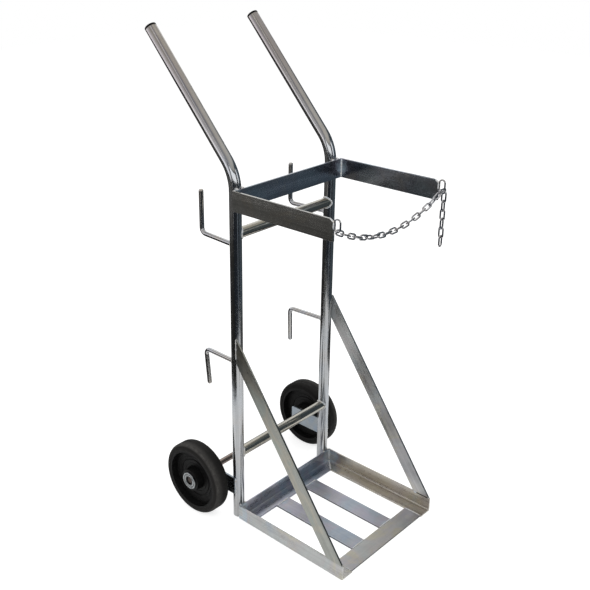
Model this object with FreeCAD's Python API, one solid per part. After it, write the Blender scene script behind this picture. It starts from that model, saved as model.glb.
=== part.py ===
import FreeCAD, Part
import math
import os

# Gas cylinder trolley, millimetres and degrees.
# X runs along the axle, the base and yoke reach towards -Y, the handles lean back to +Y, Z is up.
# Pieces are drawn with the upright tubes' axes at y = 0 and moved to the row origin on export.

V = FreeCAD.Vector
X_AXIS = V(1, 0, 0)
Y_AXIS = V(0, 1, 0)
Z_AXIS = V(0, 0, 1)
SIDES = {"left": -1, "right": 1}

# Upright tubes and handles
tube_d = 30.0
tube_wall = 2.0
upright_spacing = 350.0
bend_height = 908.0
bend_radius = 110.0
handle_angle = 42.0
handle_length = 368.0

# Plugs in the handle ends
cap_flange = 6.0
cap_stem = 22.0
cap_stem_wall = 3.0
cap_round = 1.5

# Cross tubes between the uprights
upper_cross_d = 26.9
upper_cross_below_bend = 104.0
lower_cross_d = 26.9
lower_cross_height = 193.0
cross_wall = 2.0

# Flat bars: rolled edges
flat_round = 0.7

# Yoke that holds the cylinders
yoke_width = 400.0
yoke_reach = 297.0
yoke_above_bend = 11.0
yoke_bar_height = 50.0
yoke_bar_t = 5.0
yoke_tip_drop = 8.0
yoke_tip_run = 12.0

# Base tray of angle bar with a front bar and slats
base_depth = 352.0
angle_leg = 40.0
angle_t = 4.0
angle_root_round = 4.0
angle_toe_round = 2.0
slat_t = 4.0
slat_w = 50.0
slat_count = 2
front_bar_w = 50.0
front_bar_setback = 2.0

# Diagonal braces
brace_w = 40.0
brace_t = 5.0
brace_top = 535.0
brace_setback = 2.0

# Hose hooks of round rod on the rear of the uprights
hook_rod_d = 12.0
hook_bend_radius = 14.0
hook_tip_round = 4.5
upper_hook_below_cross = 29.0
upper_hook_reach = 128.0
upper_hook_rise = 112.0
upper_hook_toe_in = 4.5
lower_hook_height = 460.5
lower_hook_drop = 100.0
lower_hook_reach = {"left": 115.0, "right": 125.0}
lower_hook_toe_in = {"left": 1.0, "right": 4.0}
lower_hook_lean = {"left": 6.0, "right": 1.0}

# Axle and its plates
axle_d = 17.0
axle_setback = 102.0
axle_end_chamfer = 1.0
plate_t = 5.0
plate_h = 50.0
plate_front = 4.0
plate_behind_axle = 30.0
plate_corner = 5.0

# Wheels
wheel_d = 200.0
tyre_w = 50.0
tyre_shoulder = 13.0
tyre_bead_chamfer = 2.0
rim_d = 166.0
rim_w = 48.0
rim_t = 5.0
rim_draft = 2.0
web_t = 14.0
web_groove_d = 104.0
web_groove_w = 4.0
web_groove_depth = 2.0
boss_d = 66.0
boss_length = 56.0
boss_taper = 3.0
hub_length = 64.0
sleeve_d = 48.0
hub_cap_t = 2.0
hub_cap_hole_d = 24.0
hub_cap_dish = 0.8
collar_d = 22.0
hub_to_plate = 2.5

# Ball bearings in the hubs
bearing_od = 40.0
bearing_w = 12.0
bearing_recess = 3.0
ball_d = 6.6
ball_count = 8
ball_play = 0.2
land_depth = 0.32

# Retaining rings on the axle ends
clip_t = 1.0
clip_groove_depth = 0.6
clip_width = 2.6
clip_gap = 8.0
axle_end_past_clip = 1.0

# Chain and its eyes
chain_wire = 4.0
link_inner_length = 22.8
link_inner_width = 7.0
chain_play = 0.3
sling_links = 18
sling_twist = 50.0
sling_twist_start = 3
sling_twist_links = 4
tail_links = 6
eye_wire = 4.0
eye_height = 32.0
eye_width = 19.0
eye_above_yoke = 3.5
tail_clearance = 1.0

# Clearance of pieces that are pushed together
fit_gap = 0.05

# Sizes worked out from the driving dimensions
tube_r = tube_d / 2
half_spacing = upright_spacing / 2
frame_side = half_spacing + tube_r
bend_turn = math.radians(handle_angle)
handle_dir = V(0, math.sin(bend_turn), math.cos(bend_turn))
yoke_top = bend_height + yoke_above_bend
upper_cross_height = bend_height - upper_cross_below_bend
upper_hook_height = upper_cross_height - upper_hook_below_cross
bend_corner_z = bend_height + bend_radius * math.tan(bend_turn / 2)
handle_run = handle_length + bend_radius * math.tan(bend_turn / 2)
wheel_r = wheel_d / 2
base_front = -tube_r - base_depth
slat_front = base_front + front_bar_setback + front_bar_w
rear_flange_front = -tube_r - angle_leg
plate_outer = frame_side + plate_t
hub_inner = plate_outer + hub_to_plate
hub_outer = hub_inner + hub_length
hub_middle = (hub_inner + hub_outer) / 2
bearing_face = hub_length / 2 - hub_cap_t - bearing_recess
clip_groove_r = axle_d / 2 - clip_groove_depth
axle_end = hub_middle + bearing_face + clip_t + axle_end_past_clip
yoke_half = yoke_width / 2
yoke_tip = -tube_r - yoke_reach
link_mean_r = (link_inner_width + chain_wire) / 2
link_outer_width = link_inner_width + 2 * chain_wire
link_straight = link_inner_length - link_inner_width
chain_pitch = link_inner_length - chain_play
wire_step = (chain_wire + chain_play) / 2
chain_y = yoke_tip - eye_width / 2
eye_x = yoke_half - yoke_bar_t / 2
eye_top = yoke_top + eye_above_yoke
eye_low_z = eye_top - eye_height + eye_wire / 2

# Row origin: on the floor, under the middle of the overall box
handle_end_y = (V(0, 0, bend_corner_z) + handle_dir * (handle_run + cap_flange - cap_round)).y
back_reach = handle_end_y + (tube_r - cap_round) * math.cos(bend_turn) + cap_round
origin = V(0, (base_front + back_reach) / 2, 0)


def export(name, shapes):
    """Write one node: its solids moved to the row origin, as one STEP file."""
    moved = [shape.translated(-origin) for shape in shapes]
    Part.makeCompound(moved).exportStep(os.path.join("parts", name + ".step"))


def box(low, high):
    """Block between two opposite corners."""
    size = high - low
    return Part.makeBox(size.x, size.y, size.z, low)


def prism(points, depth):
    """Solid made by pushing a flat polygon along a vector."""
    return Part.Face(Part.makePolygon(points + [points[0]])).extrude(depth)


def soften(bar, shortest):
    """Round the rolled edges of a flat bar: every edge longer than the given length."""
    edges = [edge for edge in bar.Edges if edge.Length > shortest]
    return bar.makeFillet(flat_round, edges)


def turned(outline, centre=V(0, 0, 0)):
    """Solid of revolution about an axis along X, from (along, radius) points."""
    points = [centre + V(along, 0, radius) for along, radius in outline]
    face = Part.Face(Part.makePolygon(points + [points[0]]))
    return face.revolve(centre, X_AXIS, 360)


def ring(inner_r, outer_r, along, width, centre):
    """Plain ring about an axis along X, starting at a distance along it."""
    outline = [(along, inner_r), (along + width, inner_r), (along + width, outer_r), (along, outer_r)]
    return turned(outline, centre)


def bent_path(points, radius):
    """Straight runs through the points, joined by tangent arcs of one radius."""
    edges = []
    start = points[0]
    for before, corner, after in zip(points, points[1:], points[2:]):
        back = (before - corner).normalize()
        ahead = (after - corner).normalize()
        half_turn = (math.pi - back.getAngle(ahead)) / 2
        reach = radius * math.tan(half_turn)
        bisector = (back + ahead).normalize()
        centre = corner + bisector * (radius / math.cos(half_turn))
        enter = corner + back * reach
        leave = corner + ahead * reach
        edges.append(Part.LineSegment(start, enter).toShape())
        edges.append(Part.Arc(enter, centre - bisector * radius, leave).toShape())
        start = leave
    edges.append(Part.LineSegment(start, points[-1]).toShape())
    return Part.Wire(edges)


def bent_rod(points, radius, rod_r):
    """Round rod swept along a bent path."""
    path = bent_path(points, radius)
    section = Part.Wire(Part.makeCircle(rod_r, points[0], points[1] - points[0]))
    return path.makePipeShell([section], True, False)


def upright_points(side):
    """Axis of one upright: floor, bend corner, handle end."""
    corner = V(side * half_spacing, 0, bend_corner_z)
    return [V(side * half_spacing, 0, 0), corner, corner + handle_dir * handle_run]


def upright(side):
    """Tube from the floor, bent back into a handle."""
    points = upright_points(side)
    outer = bent_rod(points, bend_radius, tube_r)
    inner = bent_rod(points, bend_radius, tube_r - tube_wall)
    return outer.cut(inner)


def tube_blank(side):
    """Solid of the straight stretch of an upright, for cutting what is welded to it."""
    return Part.makeCylinder(tube_r, bend_height, V(side * half_spacing, 0, 0))


def handle_cap(side):
    """Plug with a rounded flange that closes a handle end."""
    end = upright_points(side)[-1]
    flange = Part.makeCylinder(tube_r, cap_flange, end, handle_dir)
    rim = [edge for edge in flange.Edges if (edge.CenterOfMass - end).Length > cap_flange / 2]
    flange = flange.makeFillet(cap_round, [edge for edge in rim if edge.Curve.TypeId == "Part::GeomCircle"])
    stem_r = tube_r - tube_wall - fit_gap
    stem = Part.makeCylinder(stem_r, cap_stem, end, handle_dir * -1)
    hollow = Part.makeCylinder(stem_r - cap_stem_wall, cap_stem, end, handle_dir * -1)
    return flange.fuse(stem.cut(hollow)).removeSplitter()


def cross_tube(height, outer_d):
    """Tube between the uprights, its ends shaped to their round sides."""
    start = V(-half_spacing, 0, height)
    outer = Part.makeCylinder(outer_d / 2, upright_spacing, start, X_AXIS)
    inner = Part.makeCylinder(outer_d / 2 - cross_wall, upright_spacing, start, X_AXIS)
    return outer.cut(inner).cut(tube_blank(-1)).cut(tube_blank(1))


def yoke_back():
    """Flat bar across the front of the uprights, between the yoke's arms."""
    inner = yoke_half - yoke_bar_t
    low = V(-inner, -tube_r - yoke_bar_t, yoke_top - yoke_bar_height)
    return soften(box(low, V(inner, -tube_r, yoke_top)), yoke_width / 2)


def yoke_arm(side):
    """Flat bar that reaches forward, with its upper front corner cut off."""
    inner = side * (yoke_half - yoke_bar_t)
    low = yoke_top - yoke_bar_height
    outline = [
        V(inner, -tube_r, low),
        V(inner, -tube_r, yoke_top),
        V(inner, yoke_tip + yoke_tip_run, yoke_top),
        V(inner, yoke_tip, yoke_top - yoke_tip_drop),
        V(inner, yoke_tip, low),
    ]
    return soften(prism(outline, V(side * yoke_bar_t, 0, 0)), yoke_reach / 2)


def angle_bar(length):
    """Rolled angle along X: one leg flat towards +Y, one leg standing up."""
    root = V(0, angle_t, angle_t)
    toe = angle_toe_round * (1 - math.sqrt(0.5))
    fillet = angle_root_round * (1 - math.sqrt(0.5))
    flat_tip = V(0, angle_leg, angle_t)
    up_tip = V(0, angle_t, angle_leg)
    points = [
        V(0, 0, 0),
        V(0, angle_leg, 0),
        flat_tip - V(0, 0, angle_toe_round),
        flat_tip - V(0, angle_toe_round, 0),
        root + V(0, angle_root_round, 0),
        root + V(0, 0, angle_root_round),
        up_tip - V(0, 0, angle_toe_round),
        up_tip - V(0, angle_toe_round, 0),
        V(0, 0, angle_leg),
    ]
    arc_middles = {
        2: flat_tip - V(0, toe, toe),
        4: root + V(0, fillet, fillet),
        6: up_tip - V(0, toe, toe),
    }
    edges = []
    for index, start in enumerate(points):
        end = points[(index + 1) % len(points)]
        if index in arc_middles:
            edges.append(Part.Arc(start, arc_middles[index], end).toShape())
        elif (end - start).Length > 1e-6:
            edges.append(Part.LineSegment(start, end).toShape())
    return Part.Face(Part.Wire(edges)).extrude(V(length, 0, 0))


def mitre(side, rear_piece):
    """Corner prism to cut off the rear angle, or off a side angle, at a rear corner."""
    corner = V(side * frame_side, -tube_r, 0)
    across = V(-side * angle_leg, 0, 0)
    ahead = V(0, -angle_leg, 0)
    third = corner + (ahead if rear_piece else across)
    return prism([corner, corner + across + ahead, third], V(0, 0, angle_leg))


def base_rear_angle():
    """Angle across the rear of the tray, mitred at both ends."""
    bar = angle_bar(2 * frame_side)
    bar.rotate(V(0, 0, 0), Z_AXIS, 180)
    bar.translate(V(frame_side, -tube_r, 0))
    return bar.cut(mitre(-1, True)).cut(mitre(1, True))


def base_side_angle(side):
    """Angle along one side of the tray, mitred at the rear corner."""
    bar = angle_bar(base_depth)
    bar.rotate(V(0, 0, 0), Z_AXIS, side * 90)
    start_y = base_front if side > 0 else -tube_r
    bar.translate(V(side * frame_side, start_y, 0))
    return bar.cut(mitre(side, False))


def base_front_bar():
    """Flat bar between the side angles' flanges at the front."""
    half = frame_side - angle_leg
    low = V(-half, base_front + front_bar_setback, 0)
    return soften(box(low, V(half, slat_front, slat_t)), half)


def base_slat(index):
    """Flat bar from the rear flange to the front bar; the slats stand at even gaps."""
    clear = 2 * (frame_side - angle_leg)
    gap = (clear - slat_count * slat_w) / (slat_count + 1)
    low_x = -clear / 2 + gap + index * (gap + slat_w)
    low = V(low_x, slat_front, 0)
    return soften(box(low, V(low_x + slat_w, rear_flange_front, slat_t)), slat_w * 1.5)


def brace(side):
    """Flat bar from the side of an upright down to the front end of a side angle."""
    end_y = -math.sqrt(tube_r ** 2 - (tube_r - brace_t) ** 2)
    foot_y = base_front + brace_setback
    slope = math.atan2(brace_top - angle_leg, end_y - foot_y)
    outer = side * frame_side
    outline = [
        V(outer, end_y, brace_top),
        V(outer, foot_y, angle_leg),
        V(outer, foot_y + brace_w / math.sin(slope), angle_leg),
        V(outer, end_y, brace_top - brace_w / math.cos(slope)),
    ]
    return soften(prism(outline, V(-side * brace_t, 0, 0)), 2 * brace_w)


def hose_hook(side, points, toe_in):
    """Bent rod with a rounded tip, turned in a little and shaped to the upright's back."""
    rod = bent_rod(points, hook_bend_radius, hook_rod_d / 2)
    tip_rim = [edge for edge in rod.Edges if (edge.CenterOfMass - points[-1]).Length < fit_gap]
    rod = rod.makeFillet(hook_tip_round, tip_rim)
    rod.rotate(V(0, 0, 0), Z_AXIS, side * toe_in)
    rod.translate(V(side * half_spacing, 0, 0))
    return rod.cut(tube_blank(side))


def upper_hook(side):
    """Hook that goes back and turns straight up."""
    points = [
        V(0, 0, upper_hook_height),
        V(0, upper_hook_reach, upper_hook_height),
        V(0, upper_hook_reach, upper_hook_height + upper_hook_rise),
    ]
    return hose_hook(side, points, upper_hook_toe_in)


def lower_hook(name, side):
    """Hook that goes back and turns down, its tail leaning in towards the upright."""
    tilt = math.radians(lower_hook_lean[name])
    corner = V(0, lower_hook_reach[name], lower_hook_height)
    tail = V(0, -math.sin(tilt), -math.cos(tilt)) * lower_hook_drop
    points = [V(0, 0, lower_hook_height), corner, corner + tail]
    return hose_hook(side, points, lower_hook_toe_in[name])


def axle_plate(side):
    """Flat bar on the outer side of an upright that carries the axle."""
    rear = axle_setback + plate_behind_axle
    low = V(min(side * frame_side, side * plate_outer), -plate_front, wheel_r - plate_h / 2)
    high = V(max(side * frame_side, side * plate_outer), rear, wheel_r + plate_h / 2)
    plate = box(low, high)
    rear_corners = [e for e in plate.Edges if e.Length < 2 * plate_t and e.CenterOfMass.y > axle_setback]
    plate = plate.makeFillet(plate_corner, rear_corners)
    start = V(low.x, axle_setback, wheel_r)
    return plate.cut(Part.makeCylinder(axle_d / 2 + fit_gap, plate_t, start, X_AXIS))


def axle():
    """Round bar through both plates, grooved near its chamfered ends."""
    radius = axle_d / 2
    end = axle_end
    groove_out = axle_end - axle_end_past_clip
    groove_in = groove_out - clip_t
    half = [
        (groove_in, radius),
        (groove_in, clip_groove_r),
        (groove_out, clip_groove_r),
        (groove_out, radius),
        (end - axle_end_chamfer, radius),
        (end, radius - axle_end_chamfer),
    ]
    left = [(-along, r) for along, r in reversed(half)]
    outline = [(-end, 0)] + left + half + [(end, 0)]
    return turned(outline, V(0, axle_setback, wheel_r))


def wheel_centre_point(side):
    """Middle of a wheel, on the axle."""
    return V(side * hub_middle, axle_setback, wheel_r)


def tyre(centre):
    """Solid tyre: round shoulders and a chamfer at each bead."""
    half = tyre_w / 2
    flat = half - tyre_shoulder
    low = wheel_r - tyre_shoulder
    bead = rim_d / 2
    bead_half = rim_w / 2
    arc_low = tyre_shoulder * math.sqrt(0.5)
    corners = [
        V(-bead_half, 0, bead),
        V(bead_half, 0, bead),
        V(half, 0, bead + tyre_bead_chamfer),
        V(half, 0, low),
        V(flat, 0, wheel_r),
        V(-flat, 0, wheel_r),
        V(-half, 0, low),
        V(-half, 0, bead + tyre_bead_chamfer),
    ]
    corners = [centre + corner for corner in corners]
    shoulder = {
        3: centre + V(flat + arc_low, 0, low + arc_low),
        5: centre + V(-flat - arc_low, 0, low + arc_low),
    }
    edges = []
    for index, start in enumerate(corners):
        end = corners[(index + 1) % len(corners)]
        if index in shoulder:
            edges.append(Part.Arc(start, shoulder[index], end).toShape())
        else:
            edges.append(Part.LineSegment(start, end).toShape())
    return Part.Face(Part.Wire(edges)).revolve(centre, X_AXIS, 360)


def wheel_centre(centre):
    """Rim, grooved web and tapered boss in one casting, bored for the hub sleeve."""
    rim_r = rim_d / 2
    inner_r = rim_r - rim_t
    groove_in = (web_groove_d - web_groove_w) / 2
    groove_out = (web_groove_d + web_groove_w) / 2
    half_web = web_t / 2
    half = [
        (rim_w / 2, rim_r),
        (rim_w / 2, inner_r),
        (half_web, inner_r - rim_draft),
        (half_web, groove_out),
        (half_web - web_groove_depth, groove_out - web_groove_w / 4),
        (half_web - web_groove_depth, groove_in + web_groove_w / 4),
        (half_web, groove_in),
        (half_web, boss_d / 2),
        (boss_length / 2, boss_d / 2 - boss_taper),
        (boss_length / 2, sleeve_d / 2 + fit_gap),
    ]
    mirrored = [(-along, r) for along, r in reversed(half)]
    return turned(half + mirrored, centre)


def hub_sleeve(centre):
    """Steel tube in the boss that holds both bearings."""
    length = hub_length - 2 * hub_cap_t
    return ring(bearing_od / 2 + fit_gap, sleeve_d / 2, -length / 2, length, centre)


def hub_caps(centre):
    """Dished end rings of the hub, one on each end of the sleeve."""
    outer = sleeve_d / 2
    inner = hub_cap_hole_d / 2
    middle = (outer + inner) / 2
    face = hub_length / 2
    outline = [
        (face - hub_cap_t, inner),
        (face - hub_cap_t, outer),
        (face - hub_cap_dish, outer),
        (face, outer - hub_cap_dish),
        (face, middle),
        (face - hub_cap_dish, inner),
    ]
    flipped = [(-along, r) for along, r in outline]
    return [turned(outline, centre), turned(flipped, centre)]


def bearing_starts():
    """Inner end of each of a hub's two bearings, measured from the wheel's middle."""
    return [-bearing_face, bearing_face - bearing_w]


def race(centre, start, low_r, high_r):
    """Bearing ring with the balls' groove turned out of it."""
    pitch_r = (bearing_od + axle_d) / 4
    track = Part.makeTorus(pitch_r, ball_d / 2 + ball_play, centre + V(start + bearing_w / 2, 0, 0), X_AXIS)
    return ring(low_r, high_r, start, bearing_w, centre).cut(track)


def bearing_outer_rings(centre):
    """Outer rings of both bearings."""
    land = (bearing_od + axle_d) / 4 + land_depth * ball_d
    return [race(centre, start, land, bearing_od / 2) for start in bearing_starts()]


def bearing_inner_rings(centre):
    """Inner rings of both bearings."""
    land = (bearing_od + axle_d) / 4 - land_depth * ball_d
    return [race(centre, start, axle_d / 2 + fit_gap, land) for start in bearing_starts()]


def bearing_balls(centre):
    """Balls of both bearings, evenly spaced."""
    pitch_r = (bearing_od + axle_d) / 4
    balls = []
    for start in bearing_starts():
        for index in range(ball_count):
            turn = 2 * math.pi * index / ball_count
            place = V(start + bearing_w / 2, pitch_r * math.cos(turn), pitch_r * math.sin(turn))
            balls.append(Part.makeSphere(ball_d / 2, centre + place))
    return balls


def distance_tube(centre):
    """Tube on the axle between the two inner rings."""
    start = -bearing_face + bearing_w
    length = 2 * bearing_face - 2 * bearing_w
    return ring(axle_d / 2 + fit_gap, collar_d / 2, start, length, centre)


def axle_collar(side):
    """Tube on the axle from the plate to the nearer inner ring."""
    length = hub_middle - bearing_face - plate_outer
    start = plate_outer if side > 0 else -plate_outer - length
    return ring(axle_d / 2 + fit_gap, collar_d / 2, start, length, V(0, axle_setback, wheel_r))


def retaining_ring(side):
    """Split ring in the axle's groove, outside the outer bearing."""
    start = axle_end - axle_end_past_clip - clip_t
    low_x = start if side > 0 else -start - clip_t
    centre = V(0, axle_setback, wheel_r)
    outer_r = clip_groove_r + clip_width
    clip = ring(clip_groove_r + fit_gap, outer_r, low_x, clip_t, centre)
    split_low = centre + V(low_x - clip_t, -clip_gap / 2, -2 * outer_r)
    return clip.cut(box(split_low, split_low + V(3 * clip_t, clip_gap, 2 * outer_r)))


def oval_link(inner_length, inner_width, wire):
    """Oval of round wire along X, lying in the XY plane about the origin."""
    mean_r = (inner_width + wire) / 2
    straight = inner_length - inner_width
    pieces = []
    for side in SIDES.values():
        bar = Part.makeCylinder(wire / 2, straight, V(-straight / 2, side * mean_r, 0), X_AXIS)
        end = V(side * straight / 2, 0, 0)
        section = Part.Face(Part.Wire(Part.makeCircle(wire / 2, end + V(0, mean_r, 0), X_AXIS)))
        pieces += [bar, section.revolve(end, Z_AXIS, -side * 180)]
    return pieces[0].multiFuse(pieces[1:]).removeSplitter()


def placed_link(centre, along, normal):
    """Chain link with its length along one direction and its flat side facing another."""
    link = oval_link(link_inner_length, link_inner_width, chain_wire)
    link.Placement = FreeCAD.Placement(centre, FreeCAD.Rotation(along, normal.cross(along), normal, "XYZ"))
    return link


def chain_eye(side):
    """Upright oval of wire on the end of a yoke arm."""
    eye = oval_link(eye_height - 2 * eye_wire, eye_width - 2 * eye_wire, eye_wire)
    centre = V(side * eye_x, chain_y, eye_top - eye_height / 2)
    eye.Placement = FreeCAD.Placement(centre, FreeCAD.Rotation(Z_AXIS, Y_AXIS, X_AXIS * -1, "XYZ"))
    return eye


def hanging_points(start, end, length, count):
    """Points at even steps along the curve that a chain of this length hangs in."""
    span = end.x - start.x
    rise = end.z - start.z
    stretch = math.sqrt(length ** 2 - rise ** 2) / span
    low = 1e-6
    high = 20.0
    while high - low > 1e-12:
        middle = (low + high) / 2
        if math.sinh(middle) / middle < stretch:
            low = middle
        else:
            high = middle
    scale = span / (2 * low)
    lowest_x = (start.x + end.x) / 2 - scale * math.atanh(rise / length)
    first = scale * math.sinh((start.x - lowest_x) / scale)
    points = []
    for step in range(count + 1):
        x = lowest_x + scale * math.asinh((first + length * step / count) / scale)
        z = math.cosh((x - lowest_x) / scale) - math.cosh((start.x - lowest_x) / scale)
        points.append(V(x, start.y, start.z + scale * z))
    return points


def end_link_centre():
    """Middle of the link that lies across the foot of the right eye and carries the tail."""
    x = yoke_half + tail_clearance + link_outer_width / 2 - link_straight / 2
    return V(x, chain_y, eye_low_z + (eye_wire + chain_wire) / 2 + chain_play - link_mean_r)


def sling_points():
    """Contact points of the sling's links, from the left eye to the right end link."""
    eye = V(-eye_x, chain_y, eye_low_z)
    bend = end_link_centre() - V(link_straight / 2, 0, 0)
    first = X_AXIS
    last = X_AXIS
    for attempt in range(6):
        start = eye - first * wire_step
        end = bend - last * ((link_inner_width - chain_play) / 2)
        points = hanging_points(start, end, sling_links * chain_pitch, sling_links)
        first = (points[1] - points[0]).normalize()
        last = (points[-1] - points[-2]).normalize()
    return points


def sling_turn(index):
    """Twist of one link about the sling's line: none at the ends, full in the middle."""
    rise = (index - sling_twist_start) / sling_twist_links
    fall = (sling_links - 1 - index) / sling_twist_links
    return sling_twist * max(0, min(1, rise, fall))


def sling_link(points, index):
    """One link of the sling; its flat side turns a quarter turn from link to link, besides the twist."""
    along = (points[index + 1] - points[index]).normalize()
    normal = Y_AXIS if index % 2 == 0 else along.cross(Y_AXIS)
    normal = FreeCAD.Rotation(along, sling_turn(index)).multVec(normal)
    return placed_link((points[index] + points[index + 1]) / 2, along, normal)


def tail_hang_point():
    """Point on the right end link's lower bar that the tail hangs from."""
    return end_link_centre() + V(link_straight / 2, 0, -link_mean_r)


def chain_tail():
    """Links that hang down outside the right eye."""
    first = tail_hang_point() + Z_AXIS * (chain_play + chain_wire / 2 - link_inner_length / 2)
    links = []
    for index in range(tail_links):
        normal = X_AXIS if index % 2 == 0 else Y_AXIS
        links.append(placed_link(first - Z_AXIS * index * chain_pitch, Z_AXIS, normal))
    return links


def export_frame():
    """Welded frame: tubes, flat bars, hooks, plates and chain eyes."""
    export("yoke_back_bar", [yoke_back()])
    export("upper_cross_tube", [cross_tube(upper_cross_height, upper_cross_d)])
    export("lower_cross_tube", [cross_tube(lower_cross_height, lower_cross_d)])
    export("base_rear_angle", [base_rear_angle()])
    export("base_front_bar", [base_front_bar()])
    export("base_slats", [base_slat(index) for index in range(slat_count)])
    for name, side in SIDES.items():
        export(name + "_upright", [upright(side)])
        export(name + "_handle_cap", [handle_cap(side)])
        export(name + "_yoke_arm", [yoke_arm(side)])
        export(name + "_base_angle", [base_side_angle(side)])
        export(name + "_brace", [brace(side)])
        export(name + "_upper_hook", [upper_hook(side)])
        export(name + "_lower_hook", [lower_hook(name, side)])
        export(name + "_axle_plate", [axle_plate(side)])
        export(name + "_chain_eye", [chain_eye(side)])


def export_wheels():
    """Axle with the hub pieces fixed on it, and the two running wheels."""
    export("axle", [axle()])
    for name, side in SIDES.items():
        centre = wheel_centre_point(side)
        export(name + "_axle_collar", [axle_collar(side)])
        export(name + "_distance_tube", [distance_tube(centre)])
        export(name + "_retaining_ring", [retaining_ring(side)])
        export(name + "_bearing_inner_rings", bearing_inner_rings(centre))
        export(name + "_bearing_outer_rings", bearing_outer_rings(centre))
        export(name + "_bearing_balls", bearing_balls(centre))
        export(name + "_hub_sleeve", [hub_sleeve(centre)])
        export(name + "_hub_caps", hub_caps(centre))
        export(name + "_wheel_centre", [wheel_centre(centre)])
        export(name + "_tyre", [tyre(centre)])


def export_chain():
    """Chain: end links in the eyes, the hanging sling and the loose tail."""
    points = sling_points()
    export("left_end_link", [sling_link(points, 0)])
    export("chain_sling", [sling_link(points, index) for index in range(1, sling_links)])
    export("right_end_link", [placed_link(end_link_centre(), X_AXIS, Y_AXIS)])
    export("chain_tail", chain_tail())


os.makedirs("parts", exist_ok=True)
export_frame()
export_wheels()
export_chain()
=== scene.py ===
"""Looks of a two-wheeled gas cylinder trolley: zinc plated tube and bar, welded, on rubber-tyred wheels.

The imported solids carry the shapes. This file gives each of them its finish, lays the weld beads and the
moulded ribs of the wheels on them, and sets up the floor, the light and the camera.
Lengths are metres: X along the axle, front at -Y, Z up from the floor.
"""
import sys

import logging
import math
from dataclasses import dataclass
from enum import Enum
from typing import Optional, Sequence, Union

import bpy
import numpy as np
from mathutils import Matrix, Vector


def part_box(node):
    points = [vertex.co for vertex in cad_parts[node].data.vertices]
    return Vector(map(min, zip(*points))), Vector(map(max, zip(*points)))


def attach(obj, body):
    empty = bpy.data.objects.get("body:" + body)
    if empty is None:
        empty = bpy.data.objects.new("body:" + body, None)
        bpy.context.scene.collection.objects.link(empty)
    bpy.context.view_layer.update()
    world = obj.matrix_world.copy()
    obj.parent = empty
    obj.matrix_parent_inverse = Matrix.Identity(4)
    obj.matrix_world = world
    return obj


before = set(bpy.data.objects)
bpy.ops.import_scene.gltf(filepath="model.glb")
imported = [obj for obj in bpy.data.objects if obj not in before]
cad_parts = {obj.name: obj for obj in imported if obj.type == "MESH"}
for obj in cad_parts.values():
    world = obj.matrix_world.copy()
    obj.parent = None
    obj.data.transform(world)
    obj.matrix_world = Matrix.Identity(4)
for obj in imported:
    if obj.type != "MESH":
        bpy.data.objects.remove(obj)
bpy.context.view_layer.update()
LOG = logging.getLogger("trolley")

Colour = tuple[float, float, float]
Point = tuple[float, float, float]
Socket = bpy.types.NodeSocket
Value = Union[float, Socket]
SIDES: dict[str, int] = {"left": -1, "right": 1}


class Grain(Enum):
    """Direction in which a bar or tube was rolled or drawn."""

    ACROSS = (1.0, 0.0, 0.0)
    FORWARD = (0.0, 1.0, 0.0)
    UP = (0.0, 0.0, 1.0)
    HANDLE = (0.0, 0.6691, 0.7431)
    BRACE = (0.0, 0.5817, 0.8134)


class Film(Enum):
    """Tints of the passivated zinc film as colours of the bare metal, patch by patch.

    HEAT holds the heat colours beside a weld, from far to near, and RUBBED the handles where they are held.
    """

    SILVER = ((0.55, 0.60, 0.65), (0.62, 0.64, 0.63), (0.62, 0.61, 0.61),
              (0.66, 0.64, 0.56), (0.58, 0.63, 0.60))
    LILAC = ((0.43, 0.50, 0.60), (0.48, 0.53, 0.59), (0.52, 0.51, 0.59),
             (0.53, 0.53, 0.56), (0.45, 0.52, 0.61))
    STRAW = ((0.55, 0.59, 0.61), (0.58, 0.59, 0.58), (0.61, 0.59, 0.58),
             (0.64, 0.61, 0.51), (0.55, 0.58, 0.57))
    SLATE = ((0.44, 0.53, 0.61), (0.50, 0.56, 0.62), (0.47, 0.50, 0.57),
             (0.53, 0.54, 0.57), (0.42, 0.51, 0.59))
    UMBER = ((0.52, 0.53, 0.52), (0.58, 0.58, 0.56), (0.55, 0.55, 0.53),
             (0.62, 0.59, 0.53), (0.52, 0.55, 0.54))
    AMBER = ((0.59, 0.58, 0.55), (0.64, 0.61, 0.56), (0.65, 0.61, 0.56),
             (0.67, 0.63, 0.54), (0.60, 0.59, 0.55))
    OLIVE = ((0.38, 0.41, 0.40), (0.42, 0.43, 0.40), (0.40, 0.41, 0.38),
             (0.46, 0.44, 0.38), (0.39, 0.42, 0.39))
    MIST = ((0.51, 0.60, 0.72), (0.57, 0.63, 0.71), (0.61, 0.61, 0.70),
            (0.63, 0.63, 0.67), (0.54, 0.62, 0.73))
    PEWTER = ((0.32, 0.38, 0.45), (0.36, 0.41, 0.46), (0.36, 0.40, 0.44),
              (0.39, 0.42, 0.44), (0.33, 0.39, 0.46))
    DRAWN = ((0.56, 0.59, 0.63), (0.60, 0.62, 0.64), (0.61, 0.61, 0.61), (0.57, 0.60, 0.63))
    TAWNY = ((0.51, 0.50, 0.46), (0.55, 0.53, 0.47), (0.55, 0.52, 0.45), (0.51, 0.51, 0.47))
    HEAT = ((0.60, 0.55, 0.44), (0.58, 0.54, 0.62), (0.66, 0.76, 0.84), (0.86, 0.89, 0.91))
    RUBBED = ((0.51, 0.49, 0.52), (0.53, 0.50, 0.49), (0.55, 0.53, 0.49), (0.51, 0.49, 0.49))

    def stops(self, positions: Sequence[float]) -> list[tuple[float, Colour]]:
        """The tints as stops of a ramp, one at each position."""
        return list(zip(positions, self.value))


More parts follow.
